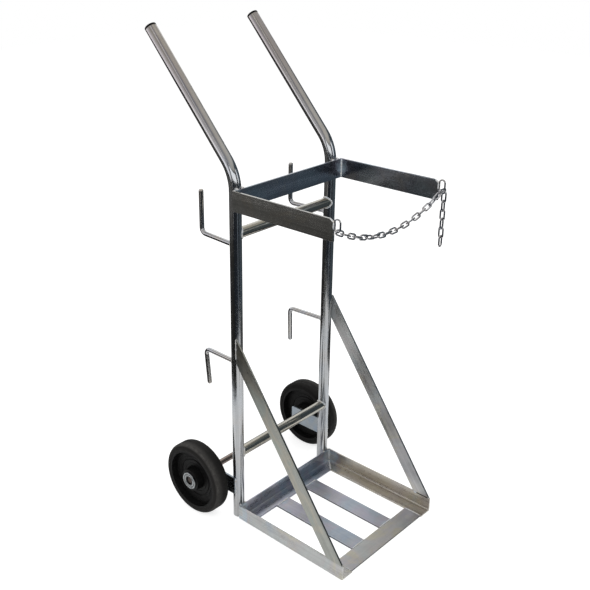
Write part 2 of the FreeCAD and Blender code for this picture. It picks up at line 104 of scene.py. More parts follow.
class Surface:
    """One procedural material while it is wired: Object coordinates in, one principled shader out."""

    def __init__(self, name: str) -> None:
        """Start an empty material with its shader and output.

        Args:
            name: the material's name.
        """
        self.material = bpy.data.materials.new(name)
        self.material.use_nodes = True
        self.tree = self.material.node_tree
        self.tree.nodes.clear()
        self.shader = self.tree.nodes.new("ShaderNodeBsdfPrincipled")
        output = self.tree.nodes.new("ShaderNodeOutputMaterial")
        self.tree.links.new(self.shader.outputs["BSDF"], output.inputs["Surface"])
        self.point = self.tree.nodes.new("ShaderNodeTexCoord").outputs["Object"]

    def put(self, socket: Socket, value: object) -> None:
        """Give a socket a link or a fixed value.

        Args:
            socket: the input socket.
            value: another node's output, a number or a tuple.
        """
        if isinstance(value, bpy.types.NodeSocket):
            self.tree.links.new(value, socket)
        elif isinstance(value, tuple) and len(value) == 3 and socket.type == "RGBA":
            socket.default_value = (*value, 1.0)
        else:
            socket.default_value = value

    def add(self, kind: str, inputs: dict[Union[str, int], object], **settings: object) -> bpy.types.Node:
        """Add a node.

        Args:
            kind: the node's type.
            inputs: socket name or index, and what goes in.
            settings: the node's own properties.

        Returns:
            The node.
        """
        node = self.tree.nodes.new(kind)
        for name, value in settings.items():
            setattr(node, name, value)
        for key, value in inputs.items():
            self.put(node.inputs[key], value)
        return node

    def noise(self, vector: Socket, scale: float, detail: float = 3.0, roughness: float = 0.5,
              distortion: float = 0.0) -> Socket:
        """Cloudy noise over a coordinate, about 0.3 to 0.7.

        Args:
            vector: the coordinate.
            scale: lumps in a metre.
            detail: octaves of noise.
            roughness: share that each finer octave keeps.
            distortion: how far the lumps are pulled about.

        Returns:
            The noise value.
        """
        inputs = {"Vector": vector, "Scale": scale, "Detail": detail, "Roughness": roughness,
                  "Distortion": distortion}
        return self.add("ShaderNodeTexNoise", inputs).outputs["Fac"]

    def lines(self, grain: Grain, along: float, across: float, detail: float = 2.0) -> Socket:
        """Noise drawn out into lines: the grain is turned onto X, then the point divided by the lengths.

        Args:
            grain: the direction of the lines.
            along: how long a line is.
            across: how wide a line is.
            detail: octaves of noise.

        Returns:
            The noise value.
        """
        turn = Vector(grain.value).rotation_difference(Vector((1.0, 0.0, 0.0))).to_euler()
        turned = self.add("ShaderNodeMapping", {"Vector": self.point, "Rotation": tuple(turn)})
        drawn = self.add("ShaderNodeMapping", {"Vector": turned.outputs[0],
                                               "Scale": (1.0 / along, 1.0 / across, 1.0 / across)})
        return self.noise(drawn.outputs[0], 1.0, detail)

    def reach(self, centre: Point, mask: Point) -> Socket:
        """Distance from a line or point: length of (point - centre) with some axes masked out.

        Args:
            centre: the point, or one on the line.
            mask: 1 for each axis that counts, 0 for the others.

        Returns:
            The distance.
        """
        shifted = self.add("ShaderNodeVectorMath", {0: self.point, 1: centre}, operation="SUBTRACT")
        kept = self.add("ShaderNodeVectorMath", {0: shifted.outputs[0], 1: mask}, operation="MULTIPLY")
        return self.add("ShaderNodeVectorMath", {0: kept.outputs[0]}, operation="LENGTH").outputs["Value"]

    def from_axle(self, y: float, z: float) -> Socket:
        """Distance from a line along X."""
        return self.reach((0.0, y, z), (0.0, 1.0, 1.0))

    def rings(self, radius: Socket, spacing: float, detail: float = 2.0) -> Socket:
        """Turning marks: noise of one variable, the distance from the axis over their spacing."""
        inputs = {"W": radius, "Scale": 1.0 / spacing, "Detail": detail}
        return self.add("ShaderNodeTexNoise", inputs, noise_dimensions="1D").outputs["Fac"]

    def edge_shade_mask(self) -> Socket:
        """Where painted shade goes on a flat that lies level: 1 on its upright edges, 0 on its broad faces.
        """
        facing = self.add("ShaderNodeTexCoord", {}).outputs["Normal"]
        return self.remap(self.size_of(self.share(facing, "Z")), 0.3, 0.6, 1.0, 0.0)

    def share(self, vector: Socket, axis: str) -> Socket:
        """One coordinate of a vector."""
        return self.add("ShaderNodeSeparateXYZ", {0: vector}).outputs[axis]

    def size_of(self, value: Socket) -> Socket:
        """A value without its sign."""
        return self.add("ShaderNodeMath", {0: value}, operation="ABSOLUTE").outputs[0]

    def out(self) -> Socket:
        """The point's distance from the trolley's middle, to either side."""
        return self.size_of(self.share(self.point, "X"))

    def height(self) -> Socket:
        """The point's height above the floor."""
        return self.share(self.point, "Z")

    def remap(self, value: Socket, low: float, high: float, to_low: float, to_high: float) -> Socket:
        """Straight-line change of range, clamped at both ends."""
        inputs = {"Value": value, "From Min": low, "From Max": high, "To Min": to_low, "To Max": to_high}
        return self.add("ShaderNodeMapRange", inputs).outputs["Result"]

    def combine(self, operation: str, a: Value, b: Value) -> Socket:
        """Two values added, subtracted or multiplied."""
        return self.add("ShaderNodeMath", {0: a, 1: b}, operation=operation).outputs[0]

    def ramp(self, value: Socket, stops: Sequence[tuple[float, Colour]]) -> Socket:
        """Colours along a value.

        Args:
            value: where on the ramp.
            stops: position and colour, in order.

        Returns:
            The colour.
        """
        node = self.add("ShaderNodeValToRGB", {0: value})
        band = node.color_ramp
        for position, _ in stops[2:]:
            band.elements.new(position)
        for element, (position, colour) in zip(band.elements, stops):
            element.position = position
            element.color = (*colour, 1.0)
        return node.outputs["Color"]

    def mix(self, amount: Value, a: object, b: object, blend: str = "MIX") -> Socket:
        """Two colours mixed or multiplied."""
        inputs = {0: amount, 6: a, 7: b}
        return self.add("ShaderNodeMix", inputs, data_type="RGBA", blend_type=blend).outputs[2]

    def grey(self, value: Socket) -> Socket:
        """A grey as bright as a value."""
        return self.add("ShaderNodeCombineColor", {0: value, 1: value, 2: value}).outputs[0]

    def shade(self, colour: Socket, value: Socket) -> Socket:
        """A colour multiplied by a grey value."""
        return self.mix(1.0, colour, self.grey(value), "MULTIPLY")

    def bump(self, height: Socket, distance: float, strength: float,
             under: Optional[Socket] = None) -> Socket:
        """Relief from a height value, on top of another relief where one is given.

        Args:
            height: the height value.
            distance: how high a value of 1 stands.
            strength: how much of the relief shows.
            under: the relief below.

        Returns:
            The normal.
        """
        inputs: dict[Union[str, int], object] = {"Height": height, "Distance": distance,
                                                 "Strength": strength}
        if under is not None:
            inputs["Normal"] = under
        return self.add("ShaderNodeBump", inputs).outputs["Normal"]

    def finish(self, colour: Socket, roughness: Value, normal: Socket,
               metallic: float) -> bpy.types.Material:
        """Wire the shader and hand the material over.

        Args:
            colour: base colour.
            roughness: a value or a fixed number.
            normal: relief.
            metallic: 1 for bare metal, less for dull weld metal, 0 for rubber and plastic.

        Returns:
            The finished material.
        """
        self.put(self.shader.inputs["Base Color"], colour)
        self.put(self.shader.inputs["Roughness"], roughness)
        self.put(self.shader.inputs["Normal"], normal)
        self.shader.inputs["Metallic"].default_value = metallic
        return self.material


class Finish:
    """A finish that makes its material once and then hands the same one out."""

    name: str

    def material(self) -> bpy.types.Material:
        """The material, made at first use."""
        return bpy.data.materials.get(self.name) or self.make()

    def make(self) -> bpy.types.Material:
        """Wire the material; each finish has its own."""
        raise NotImplementedError


@dataclass(frozen=True)
class BarZinc(Finish):
    """Zinc plated rolled flat: fine lines along the bar under a cloudy passivated film, with painted shade
    on the upright edges where asked.
    """

    name: str
    grain: Grain
    film: Film
    smooth: float = 0.22
    rough: float = 0.36
    streak: float = 1.0
    heat: tuple[Point, ...] = ()
    heat_size: float = 0.045
    heat_peak: float = 1.0
    # painted shade on the upright edges, and the share of brightness it keeps
    paints_edge_shade: bool = False
    painted_edge_shade: float = 0.25
    fine_line: tuple[float, float] = (0.22, 0.0030)
    broad_line: tuple[float, float] = (0.40, 0.020)
    cloud_scale: float = 9.0
    patch_scale: float = 32.0
    ragged: float = 0.2
    weld_dull: float = 0.42
    weld_tint: float = 0.8

    def heated(self, s: Surface, colour: Socket, rough: Socket, patch: Socket) -> tuple[Socket, Socket]:
        """Heat colours by the welds: pale and dull at the weld, then blue, lilac and straw further off.

        Args:
            s: the surface that is wired.
            colour: the film before welding.
            rough: the roughness before welding.
            patch: noise that makes the rings ragged.

        Returns:
            The film with its heat colours, and its roughness.
        """
        core = self.ragged * self.heat_size
        ragged = s.remap(patch, 0.35, 0.65, -core, core)
        for place in self.heat:
            away = s.combine("ADD", s.reach(place, (1.0, 1.0, 1.0)), ragged)
            near = s.remap(away, core, self.heat_size, self.heat_peak, 0.0)
            tint = s.ramp(near, Film.HEAT.stops((0.0, 0.35, 0.65, 0.95)))
            colour = s.mix(s.remap(near, 0.0, 0.6, 0.0, self.weld_tint), colour, tint)
            rough = s.combine("ADD", rough, s.remap(near, 0.35, 1.0, 0.0, self.weld_dull))
        return colour, rough

    def make(self) -> bpy.types.Material:
        """Colour is the film's ramp over cloud noise times the lines; roughness follows broader lines.

        Returns:
            The material.
        """
        s = Surface(self.name)
        fine = s.lines(self.grain, *self.fine_line, 3.0)
        broad = s.lines(self.grain, *self.broad_line)
        cloud = s.noise(s.point, self.cloud_scale, 4.0, 0.55, 0.9)
        patch = s.noise(s.point, self.patch_scale, 3.0, 0.6, 1.2)
        film = s.ramp(cloud, self.film.stops((0.30, 0.42, 0.51, 0.60, 0.70)))
        plain = s.combine("ADD", s.remap(broad, 0.33, 0.67, self.smooth, self.rough),
                          s.remap(patch, 0.35, 0.65, -0.01, 0.02))
        tinted, rough = self.heated(s, film, plain, patch)
        k = self.streak
        lined = s.shade(tinted, s.remap(fine, 0.32, 0.68, 1.0 - 0.12 * k, 1.0 + 0.05 * k))
        streaked = s.shade(lined, s.remap(broad, 0.33, 0.67, 1.0 - 0.14 * k, 1.0 + 0.10 * k))
        colour = s.shade(streaked, s.remap(patch, 0.35, 0.65, 0.94, 1.04))
        # painted shade: the upright edges of level flats are darkened in the colour
        if self.paints_edge_shade:
            colour = s.shade(colour, s.remap(s.edge_shade_mask(), 0.0, 1.0, 1.0, self.painted_edge_shade))
        relief = s.bump(fine, 0.0002, 0.18, s.bump(broad, 0.0010, 0.15))
        return s.finish(colour, rough, relief, 1.0)


@dataclass(frozen=True)
class TubeZinc(Finish):
    """Bright zinc on drawn tube: long die lines that turn with the bend, duller where hands rub."""

    name: str
    grain: Grain
    upper_grain: Optional[Grain] = None
    film: Film = Film.DRAWN
    turn_height: float = 0.950
    turn_band: float = 0.06
    rub_height: float = 1.07
    rub_band: float = 0.10
    smooth: float = 0.10
    rough: float = 0.20
    upper_add: float = 0.03
    fine_line: tuple[float, float] = (0.40, 0.0034)
    broad_line: tuple[float, float] = (0.70, 0.0090)
    cloud_scale: float = 8.0
    smudge_scale: float = 45.0

    @staticmethod
    def above(s: Surface, height: float, band: float) -> Socket:
        """0 below a height, 1 above it, passing over within a band."""
        return s.remap(s.height(), height - band, height + band, 0.0, 1.0)

    def drawn(self, s: Surface, along: float, across: float) -> Socket:
        """Die lines; above the bend they pass over to the second grain.

        Args:
            s: the surface that is wired.
            along: how long a line is.
            across: how wide a line is.

        Returns:
            The noise value.
        """
        low = s.lines(self.grain, along, across)
        if self.upper_grain is None:
            return low
        high = s.lines(self.upper_grain, along, across)
        part = self.above(s, self.turn_height, self.turn_band)
        return s.add("ShaderNodeMix", {0: part, 2: low, 3: high}, data_type="FLOAT").outputs[0]

    def make(self) -> bpy.types.Material:
        """Colour is a film ramp over cloud noise times the die lines; roughness follows lines and bend.

        Returns:
            The material.
        """
        s = Surface(self.name)
        fine = self.drawn(s, *self.fine_line)
        broad = self.drawn(s, *self.broad_line)
        cloud = s.noise(s.point, self.cloud_scale, 4.0, 0.55, 0.6)
        smudge = s.noise(s.point, self.smudge_scale, 4.0, 0.6, 0.8)
        film = s.ramp(cloud, self.film.stops((0.32, 0.45, 0.57, 0.70)))
        rough = s.combine("ADD", s.remap(broad, 0.33, 0.67, self.smooth, self.rough),
                          s.remap(smudge, 0.40, 0.66, -0.02, 0.04))
        if self.upper_grain is not None:
            held = self.above(s, self.rub_height, self.rub_band)
            film = s.mix(held, film, s.ramp(broad, Film.RUBBED.stops((0.34, 0.46, 0.56, 0.68))))
            rough = s.combine("ADD", rough, s.combine("MULTIPLY", held, self.upper_add))
        lined = s.shade(film, s.remap(fine, 0.32, 0.68, 0.92, 1.04))
        streaked = s.shade(lined, s.remap(broad, 0.33, 0.67, 0.82, 1.08))
        colour = s.shade(streaked, s.remap(smudge, 0.35, 0.68, 0.94, 1.03))
        relief = s.bump(broad, 0.0005, 0.12)
        return s.finish(colour, rough, relief, 1.0)


@dataclass(frozen=True)
class RodZinc(Finish):
    """Zinc on bent rod and forged wire: a warmer film with soft blotches."""

    name: str
    cool: Colour = (0.56, 0.58, 0.61)
    warm: Colour = (0.60, 0.57, 0.53)
    smooth: float = 0.12
    rough: float = 0.24
    cloud_scale: float = 26.0
    blotch_scale: float = 160.0

    def make(self) -> bpy.types.Material:
        """Cool and warm film mixed by cloud noise; blotches change shade and roughness together.

        Returns:
            The material.
        """
        s = Surface(self.name)
        cloud = s.noise(s.point, self.cloud_scale, 3.0, 0.5, 0.5)
        blotch = s.noise(s.point, self.blotch_scale, 4.0, 0.6)
        film = s.mix(s.remap(cloud, 0.36, 0.64, 0.0, 1.0), self.cool, self.warm)
        colour = s.shade(film, s.remap(blotch, 0.35, 0.68, 0.90, 1.04))
        rough = s.remap(blotch, 0.35, 0.65, self.smooth, self.rough)
        return s.finish(colour, rough, s.bump(blotch, 0.0004, 0.10), 1.0)


@dataclass(frozen=True)
class WeldZinc(Finish):
    """Weld metal under the plating: pale and dull, with cool and straw patches and grains of spatter."""

    name: str = "weld_bead"
    cool: Colour = (0.72, 0.79, 0.85)
    pale: Colour = (0.84, 0.85, 0.86)
    warm: Colour = (0.82, 0.77, 0.68)
    metal: float = 0.6
    cloud_scale: float = 90.0
    grain_scale: float = 900.0

    def make(self) -> bpy.types.Material:
        """Film ramp over small noise; grains of spatter give shade, roughness and relief.

        Returns:
            The material.
        """
        s = Surface(self.name)
        cloud = s.noise(s.point, self.cloud_scale, 3.0, 0.6, 0.4)
        grain = s.noise(s.point, self.grain_scale, 3.0, 0.65)
        film = s.ramp(cloud, [(0.34, self.cool), (0.50, self.pale), (0.66, self.warm)])
        colour = s.shade(film, s.remap(grain, 0.34, 0.66, 0.78, 1.08))
        rough = s.remap(grain, 0.34, 0.66, 0.34, 0.60)
        return s.finish(colour, rough, s.bump(grain, 0.0006, 0.45), self.metal)


@dataclass(frozen=True)
class TurnedSteel(Finish):
    """Turned or ground steel: fine rings about the axle line; where end_x is given, the ends are darkened
    as painted shade of the hole they sit in.
    """

    name: str
    axle_y: float
    axle_z: float
    tone: Colour = (0.62, 0.62, 0.63)
    mark: float = 0.0006
    smooth: float = 0.16
    rough: float = 0.34
    end_x: Optional[float] = None
    end_from: float = 0.004
    end_to: float = 0.003
    end_painted_shade: float = 0.22
    oiled: Colour = (0.80, 0.77, 0.73)
    smear_scale: float = 120.0

    def make(self) -> bpy.types.Material:
        """Shade, roughness and relief follow noise of the distance from the axle, under oily smears.

        Returns:
            The material.
        """
        s = Surface(self.name)
        radius = s.from_axle(self.axle_y, self.axle_z)
        ring = s.rings(radius, self.mark)
        smear = s.noise(s.point, self.smear_scale, 3.0, 0.55)
        dimmed = tuple(tone * part for tone, part in zip(self.tone, self.oiled))
        film = s.mix(s.remap(smear, 0.36, 0.66, 0.0, 1.0), self.tone, dimmed)
        colour = s.shade(film, s.remap(ring, 0.32, 0.68, 0.80, 1.08))
        # painted shade: the part beyond end_x is darkened in the colour, as the recessed axle end lies in
        # shadow
        if self.end_x is not None:
            start, stop = self.end_x - self.end_from, self.end_x - self.end_to
            colour = s.shade(colour, s.remap(s.out(), start, stop, 1.0, self.end_painted_shade))
        rough = s.combine("ADD", s.remap(ring, 0.32, 0.68, self.smooth, self.rough),
                          s.remap(smear, 0.40, 0.66, -0.02, 0.06))
        return s.finish(colour, rough, s.bump(ring, 0.0002, 0.35), 1.0)


@dataclass(frozen=True)
class TyreRubber(Finish):
    """Black moulded rubber: matt, with moulding rings on the walls, grey dust held in the grain, and
    painted shade on the inner side.
    """

    name: str
    axle_y: float
    axle_z: float
    middle_x: float
    half_width: float
    tread_r: float = 0.100
    shoulder: float = 0.006
    tread_edge: float = 0.002
    shine: float = 0.18
    black: Colour = (0.010, 0.0095, 0.009)
    dust: Colour = (0.130, 0.125, 0.118)
    ring: float = 0.0035
    pebble_scale: float = 1400.0
    dust_scale: float = 120.0
    dust_to: float = 0.8
    # share of brightness kept by the painted shade on the inner side
    inner_painted_shade: float = 0.6

    def make(self) -> bpy.types.Material:
        """Dust lies where two noises are high, on the tread's outer half; the inner side is darkened as
        painted shade; rings and pebbles stand up.

        Returns:
            The material.
        """
        s = Surface(self.name)
        radius = s.from_axle(self.axle_y, self.axle_z)
        ring = s.rings(radius, self.ring)
        pebble = s.noise(s.point, self.pebble_scale, 3.0, 0.6)
        dusty = s.noise(s.point, self.dust_scale, 4.0, 0.60, 0.4)
        lying = s.combine("MULTIPLY", s.remap(dusty, 0.36, 0.66, 0.35, 0.70),
                          s.remap(pebble, 0.35, 0.62, 0.5, 1.0))
        tread = s.remap(radius, self.tread_r - self.shoulder, self.tread_r - self.tread_edge, 0.10, 1.0)
        outer = s.combine("SUBTRACT", s.out(), self.middle_x)
        worn = s.combine("MULTIPLY", tread, s.remap(outer, 0.0, self.dust_to * self.half_width, 0.05, 1.0))
        amount = s.combine("MULTIPLY", lying, worn)
        ringed = s.shade(s.mix(amount, self.black, self.dust), s.remap(ring, 0.30, 0.70, 0.88, 1.12))
        # painted shade: the colour darkens towards the wheel's inner side, which faces the other wheel
        colour = s.shade(ringed, s.remap(outer, -self.half_width, 0.0, self.inner_painted_shade, 1.0))
        rough = s.remap(dusty, 0.35, 0.65, 0.58, 0.82)
        relief = s.bump(pebble, 0.0004, 0.30, s.bump(ring, 0.0008, 0.30))
        s.shader.inputs["Specular IOR Level"].default_value = self.shine
        return s.finish(colour, rough, relief, 0.0)


@dataclass(frozen=True)
class MouldedPlastic(Finish):
    """Black moulded plastic: satin, with flow rings about a line along X, scuffed lightly."""

    name: str
    axle_y: float
    axle_z: float
    black: Colour = (0.0050, 0.0050, 0.0050)
    scuff: Colour = (0.010, 0.010, 0.010)
    shine: float = 0.14
    smooth: float = 0.34
    rough: float = 0.56
    ring: float = 0.0026
    scuff_scale: float = 70.0
    spark_scale: float = 2000.0

    def make(self) -> bpy.types.Material:
        """Scuffs come from stretched noise; flow rings give a faint shade and relief.

        Returns:
            The material.
        """
        s = Surface(self.name)
        radius = s.from_axle(self.axle_y, self.axle_z)
        ring = s.rings(radius, self.ring)
        worn = s.noise(s.point, self.scuff_scale, 5.0, 0.65, 0.8)
        spark = s.noise(s.point, self.spark_scale, 2.0, 0.5)
        amount = s.combine("MULTIPLY", s.remap(worn, 0.48, 0.70, 0.0, 1.0),
                           s.remap(ring, 0.35, 0.65, 0.3, 1.0))
        colour = s.mix(amount, self.black, self.scuff)
        rough = s.combine("ADD", s.remap(worn, 0.36, 0.66, self.smooth, self.rough),
                          s.remap(ring, 0.35, 0.65, -0.04, 0.04))
        relief = s.bump(spark, 0.0002, 0.25, s.bump(ring, 0.0005, 0.25))
        s.shader.inputs["Specular IOR Level"].default_value = self.shine
        return s.finish(colour, rough, relief, 0.0)


class Shell:
    """Grids of points gathered into one mesh."""

    def __init__(self) -> None:
        """Start with no points and no faces."""
        self.points: list[np.ndarray] = []
        self.faces: list[list[int]] = []
        self.count = 0

    def add_tube(self, rings: np.ndarray, closed: bool) -> None:
        """Add a skin over rings of points; an open skin gets a pole at the middle of each end ring.

        Face (i, j) joins ring i to ring i + 1 between point j and j + 1, turned so that it faces outwards.

        Args:
            rings: array (rings, points in a ring, 3), each ring turning right-handed about the path.
            closed: True where the last ring meets the first.
        """
        total, around, _ = rings.shape
        steps = total if closed else total - 1
        i, j = np.meshgrid(np.arange(steps), np.arange(around), indexing="ij")
        after, beside = (i + 1) % total, (j + 1) % around
        quads = np.stack([i * around + j, i * around + beside,
                          after * around + beside, after * around + j], -1)
        self.faces += (quads.reshape(-1, 4) + self.count).tolist()
        points = rings.reshape(-1, 3)
        if not closed:
            k = np.arange(around)
            turn = (k + 1) % around
            first, last = total * around, total * around + 1
            start = np.stack([np.full(around, first), turn, k], -1)
            base = (total - 1) * around
            end = np.stack([np.full(around, last), base + k, base + turn], -1)
            self.faces += (start + self.count).tolist() + (end + self.count).tolist()
            points = np.vstack([points, rings[0].mean(0), rings[-1].mean(0)])
        self.points.append(points)
        self.count += len(points)

    def piece(self, name: str, body: str, slot: str, finish: Finish) -> bpy.types.Object:
        """Make the mesh object and let it ride.

        Args:
            name: the piece's name.
            body: the body it moves with.
            slot: the record's material slot; not used.
            finish: its finish.

        Returns:
            The object, at the origin.
        """
        mesh = bpy.data.meshes.new(name)
        mesh.from_pydata(np.vstack(self.points).tolist(), [], self.faces)
        mesh.polygons.foreach_set("use_smooth", np.ones(len(mesh.polygons), dtype=bool))
        mesh.materials.append(finish.material())
        mesh.update()
        made = bpy.data.objects.new(name, mesh)
        bpy.context.scene.collection.objects.link(made)
        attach(made, body)
        LOG.info("piece %s: %d faces, rides on %s", name, len(mesh.polygons), body)
        return made


def unit(vectors: np.ndarray) -> np.ndarray:
    """Vectors over their own lengths."""
    return vectors / np.linalg.norm(vectors, axis=-1, keepdims=True)


@dataclass(frozen=True)
class Bead:
    """How a weld bead is laid: round section with ripples, ends that round off, a slow swell along it."""

    radius: float
    ripple: float = 0.0024
    depth: float = 0.13
    swell: float = 0.16
    waves: tuple[float, float] = (0.019, 0.0083)
    wave_parts: tuple[float, float] = (0.6, 0.4)
    bow: float = 0.4
    step: float = 0.0006
    sides: int = 10

    def rings(self, path: np.ndarray, closed: bool, seed: int) -> np.ndarray:
        """Carry the section along a path.

        The path is divided evenly by length s. The radius is R (1 + depth saw(s / ripple) + swell n(s)),
        with n two slow sines of seeded phase. On an open path it is also times a quarter circle over the
        last R at each end. A point at angle a lies at P + r (N cos a + B sin a), slid back along the path
        by bow r (cos a)^2, which bends each ripple into a crescent.

        Args:
            path: corner points (n, 3); a closed path repeats no point.
            closed: True for a ring of weld.
            seed: fixes the swell.

        Returns:
            Points (rings, sides, 3).
        """
        line = np.vstack([path, path[:1]]) if closed else path
        run = np.concatenate([[0.0], np.cumsum(np.linalg.norm(np.diff(line, axis=0), axis=1))])
        count = max(12, int(run[-1] / self.step))
        s = np.linspace(0.0, run[-1], count, endpoint=not closed)
        middle = np.stack([np.interp(s, run, line[:, k]) for k in range(3)], -1)
        if closed:
            ahead = np.roll(middle, -1, 0) - np.roll(middle, 1, 0)
            around = np.cross(middle - middle.mean(0), ahead).sum(0)
        else:
            ahead = np.gradient(middle, axis=0)
            around = np.eye(3)[np.argmin(np.abs(ahead).sum(0))]
        along = unit(ahead)
        side = unit(np.cross(along, around))
        up = np.cross(along, side)
        phase = np.random.default_rng(seed).uniform(0.0, 2.0 * math.pi, 2)
        turns = run[-1] / np.array(self.waves)
        if closed:
            turns = np.round(turns)
        slow, quick = (np.sin(2.0 * math.pi * turns[k] * s / run[-1] + phase[k]) for k in range(2))
        saw = 1.0 - 2.0 * np.mod(s / self.ripple + phase[0], 1.0)
        swell = self.swell * (self.wave_parts[0] * slow + self.wave_parts[1] * quick)
        size = self.radius * (1.0 + self.depth * saw + swell)
        if not closed:
            inset = np.clip(np.minimum(s, run[-1] - s) / self.radius, 0.02, 1.0)
            size = size * np.sqrt(1.0 - (1.0 - inset) ** 2)
        angle = circle(self.sides)
        out = side[:, None] * np.cos(angle)[None, :, None] + up[:, None] * np.sin(angle)[None, :, None]
        slide = along[:, None] * (self.bow * np.cos(angle) ** 2)[None, :, None]
        return middle[:, None] + size[:, None, None] * (out - slide)


def circle(points: int) -> np.ndarray:
    """Angles once round, evenly spaced."""
    return np.linspace(0.0, 2.0 * math.pi, points, endpoint=False)


def corners(node: str) -> tuple[np.ndarray, np.ndarray]:
    """Lowest and highest corner of a node as arrays."""
    low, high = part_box(node)
    return np.array(low), np.array(high)


def coat(nodes: Sequence[str], finish: Finish) -> None:
    """Give nodes a finish.

    Args:
        nodes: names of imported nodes.
        finish: the finish for all of them.
    """
    for name in nodes:
        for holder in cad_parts[name].material_slots:
            holder.material = finish.material()
        LOG.info("node %s: %s", name, finish.name)


def both(name: str) -> list[str]:
    """A node's name for the left and the right side."""
    return [f"{side}_{name}" for side in SIDES]


class WeldSet:
    """The beads of one sub-assembly, laid one after another and kept in one piece."""

    def __init__(self, name: str) -> None:
        """Start with no bead.

        Args:
            name: the piece's name.
        """
        self.name = name
        self.shell = Shell()
        self.seed = sum(name.encode())

    def lay(self, path: np.ndarray, radius: float, closed: bool = False) -> None:
        """Lay one bead along a path."""
        self.seed += 1
        self.shell.add_tube(Bead(radius).rings(path, closed, self.seed), closed)

    def line(self, start: Sequence[float], end: Sequence[float], radius: float) -> None:
        """Lay one straight bead between two points."""
        self.lay(np.array([start, end], dtype=float), radius)

    def post(self, x: float, y: float, low: float, high: float, radius: float) -> None:
        """Lay one upright bead between two heights."""
        self.line((x, y, low), (x, y, high), radius)

    def done(self, finish: Finish = WeldZinc()) -> bpy.types.Object:
        """Hand the beads over as a piece on the frame."""
        return self.shell.piece(self.name, "frame", "zinc_flat", finish)


@dataclass
class TubeFrame:
    """Upright tubes with their bent handles, end plugs and two cross tubes.

    A ring weld stands off the tubes by the share stand of its radius; the plugs' flow rings run about the
    line at plug_y and plug_z.
    """

    radius: float
    upright_x: float
    upright_y: float
    bead: float = 0.0022
    stand: float = 0.3
    saddle_points: int = 72
    plug_y: float = 0.30
    plug_z: float = 1.20

    @classmethod
    def measured(cls) -> "TubeFrame":
        """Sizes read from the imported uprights.

        Returns:
            The tube frame.
        """
        low, high = corners("right_upright")
        radius = (high[0] - low[0]) / 2
        return cls(radius, (low[0] + high[0]) / 2, low[1] + radius)

    def saddle(self, node: str, side: int) -> np.ndarray:
        """Where a cross tube meets an upright.

        A point goes round the cross tube by angle a: y = r cos a, z = r sin a, and x follows the upright's
        round face, x = X - sqrt(R^2 - y^2), with both radii a little large to stand the bead in the corner.

        Args:
            node: the cross tube.
            side: -1 left, 1 right.

        Returns:
            A closed path.
        """
        low, high = corners(node)
        small = (high[2] - low[2]) / 2 + self.stand * self.bead
        large = self.radius + self.stand * self.bead
        angle = circle(self.saddle_points)
        y = small * np.cos(angle)
        x = side * (self.upright_x - np.sqrt(large ** 2 - y ** 2))
        return np.stack([x, self.upright_y + y, (low[2] + high[2]) / 2 + small * np.sin(angle)], -1)

    def build(self) -> None:
        """Ring welds where the cross tubes meet the uprights."""
        welds = WeldSet("cross_tube_welds")
        for node in ("upper_cross_tube", "lower_cross_tube"):
            for side in SIDES.values():
                welds.lay(self.saddle(node, side), self.bead, closed=True)
        welds.done()

    def dress(self) -> None:
        """Drawn tube on the uprights and cross tubes, moulded plugs in the handle ends."""
        coat(both("upright"), TubeZinc("drawn_zinc_upright", Grain.UP, Grain.HANDLE))
        coat(["upper_cross_tube", "lower_cross_tube"],
             TubeZinc("drawn_zinc_cross_tube", Grain.ACROSS, film=Film.TAWNY))
        coat(both("handle_cap"), MouldedPlastic("plug_plastic", self.plug_y, self.plug_z))


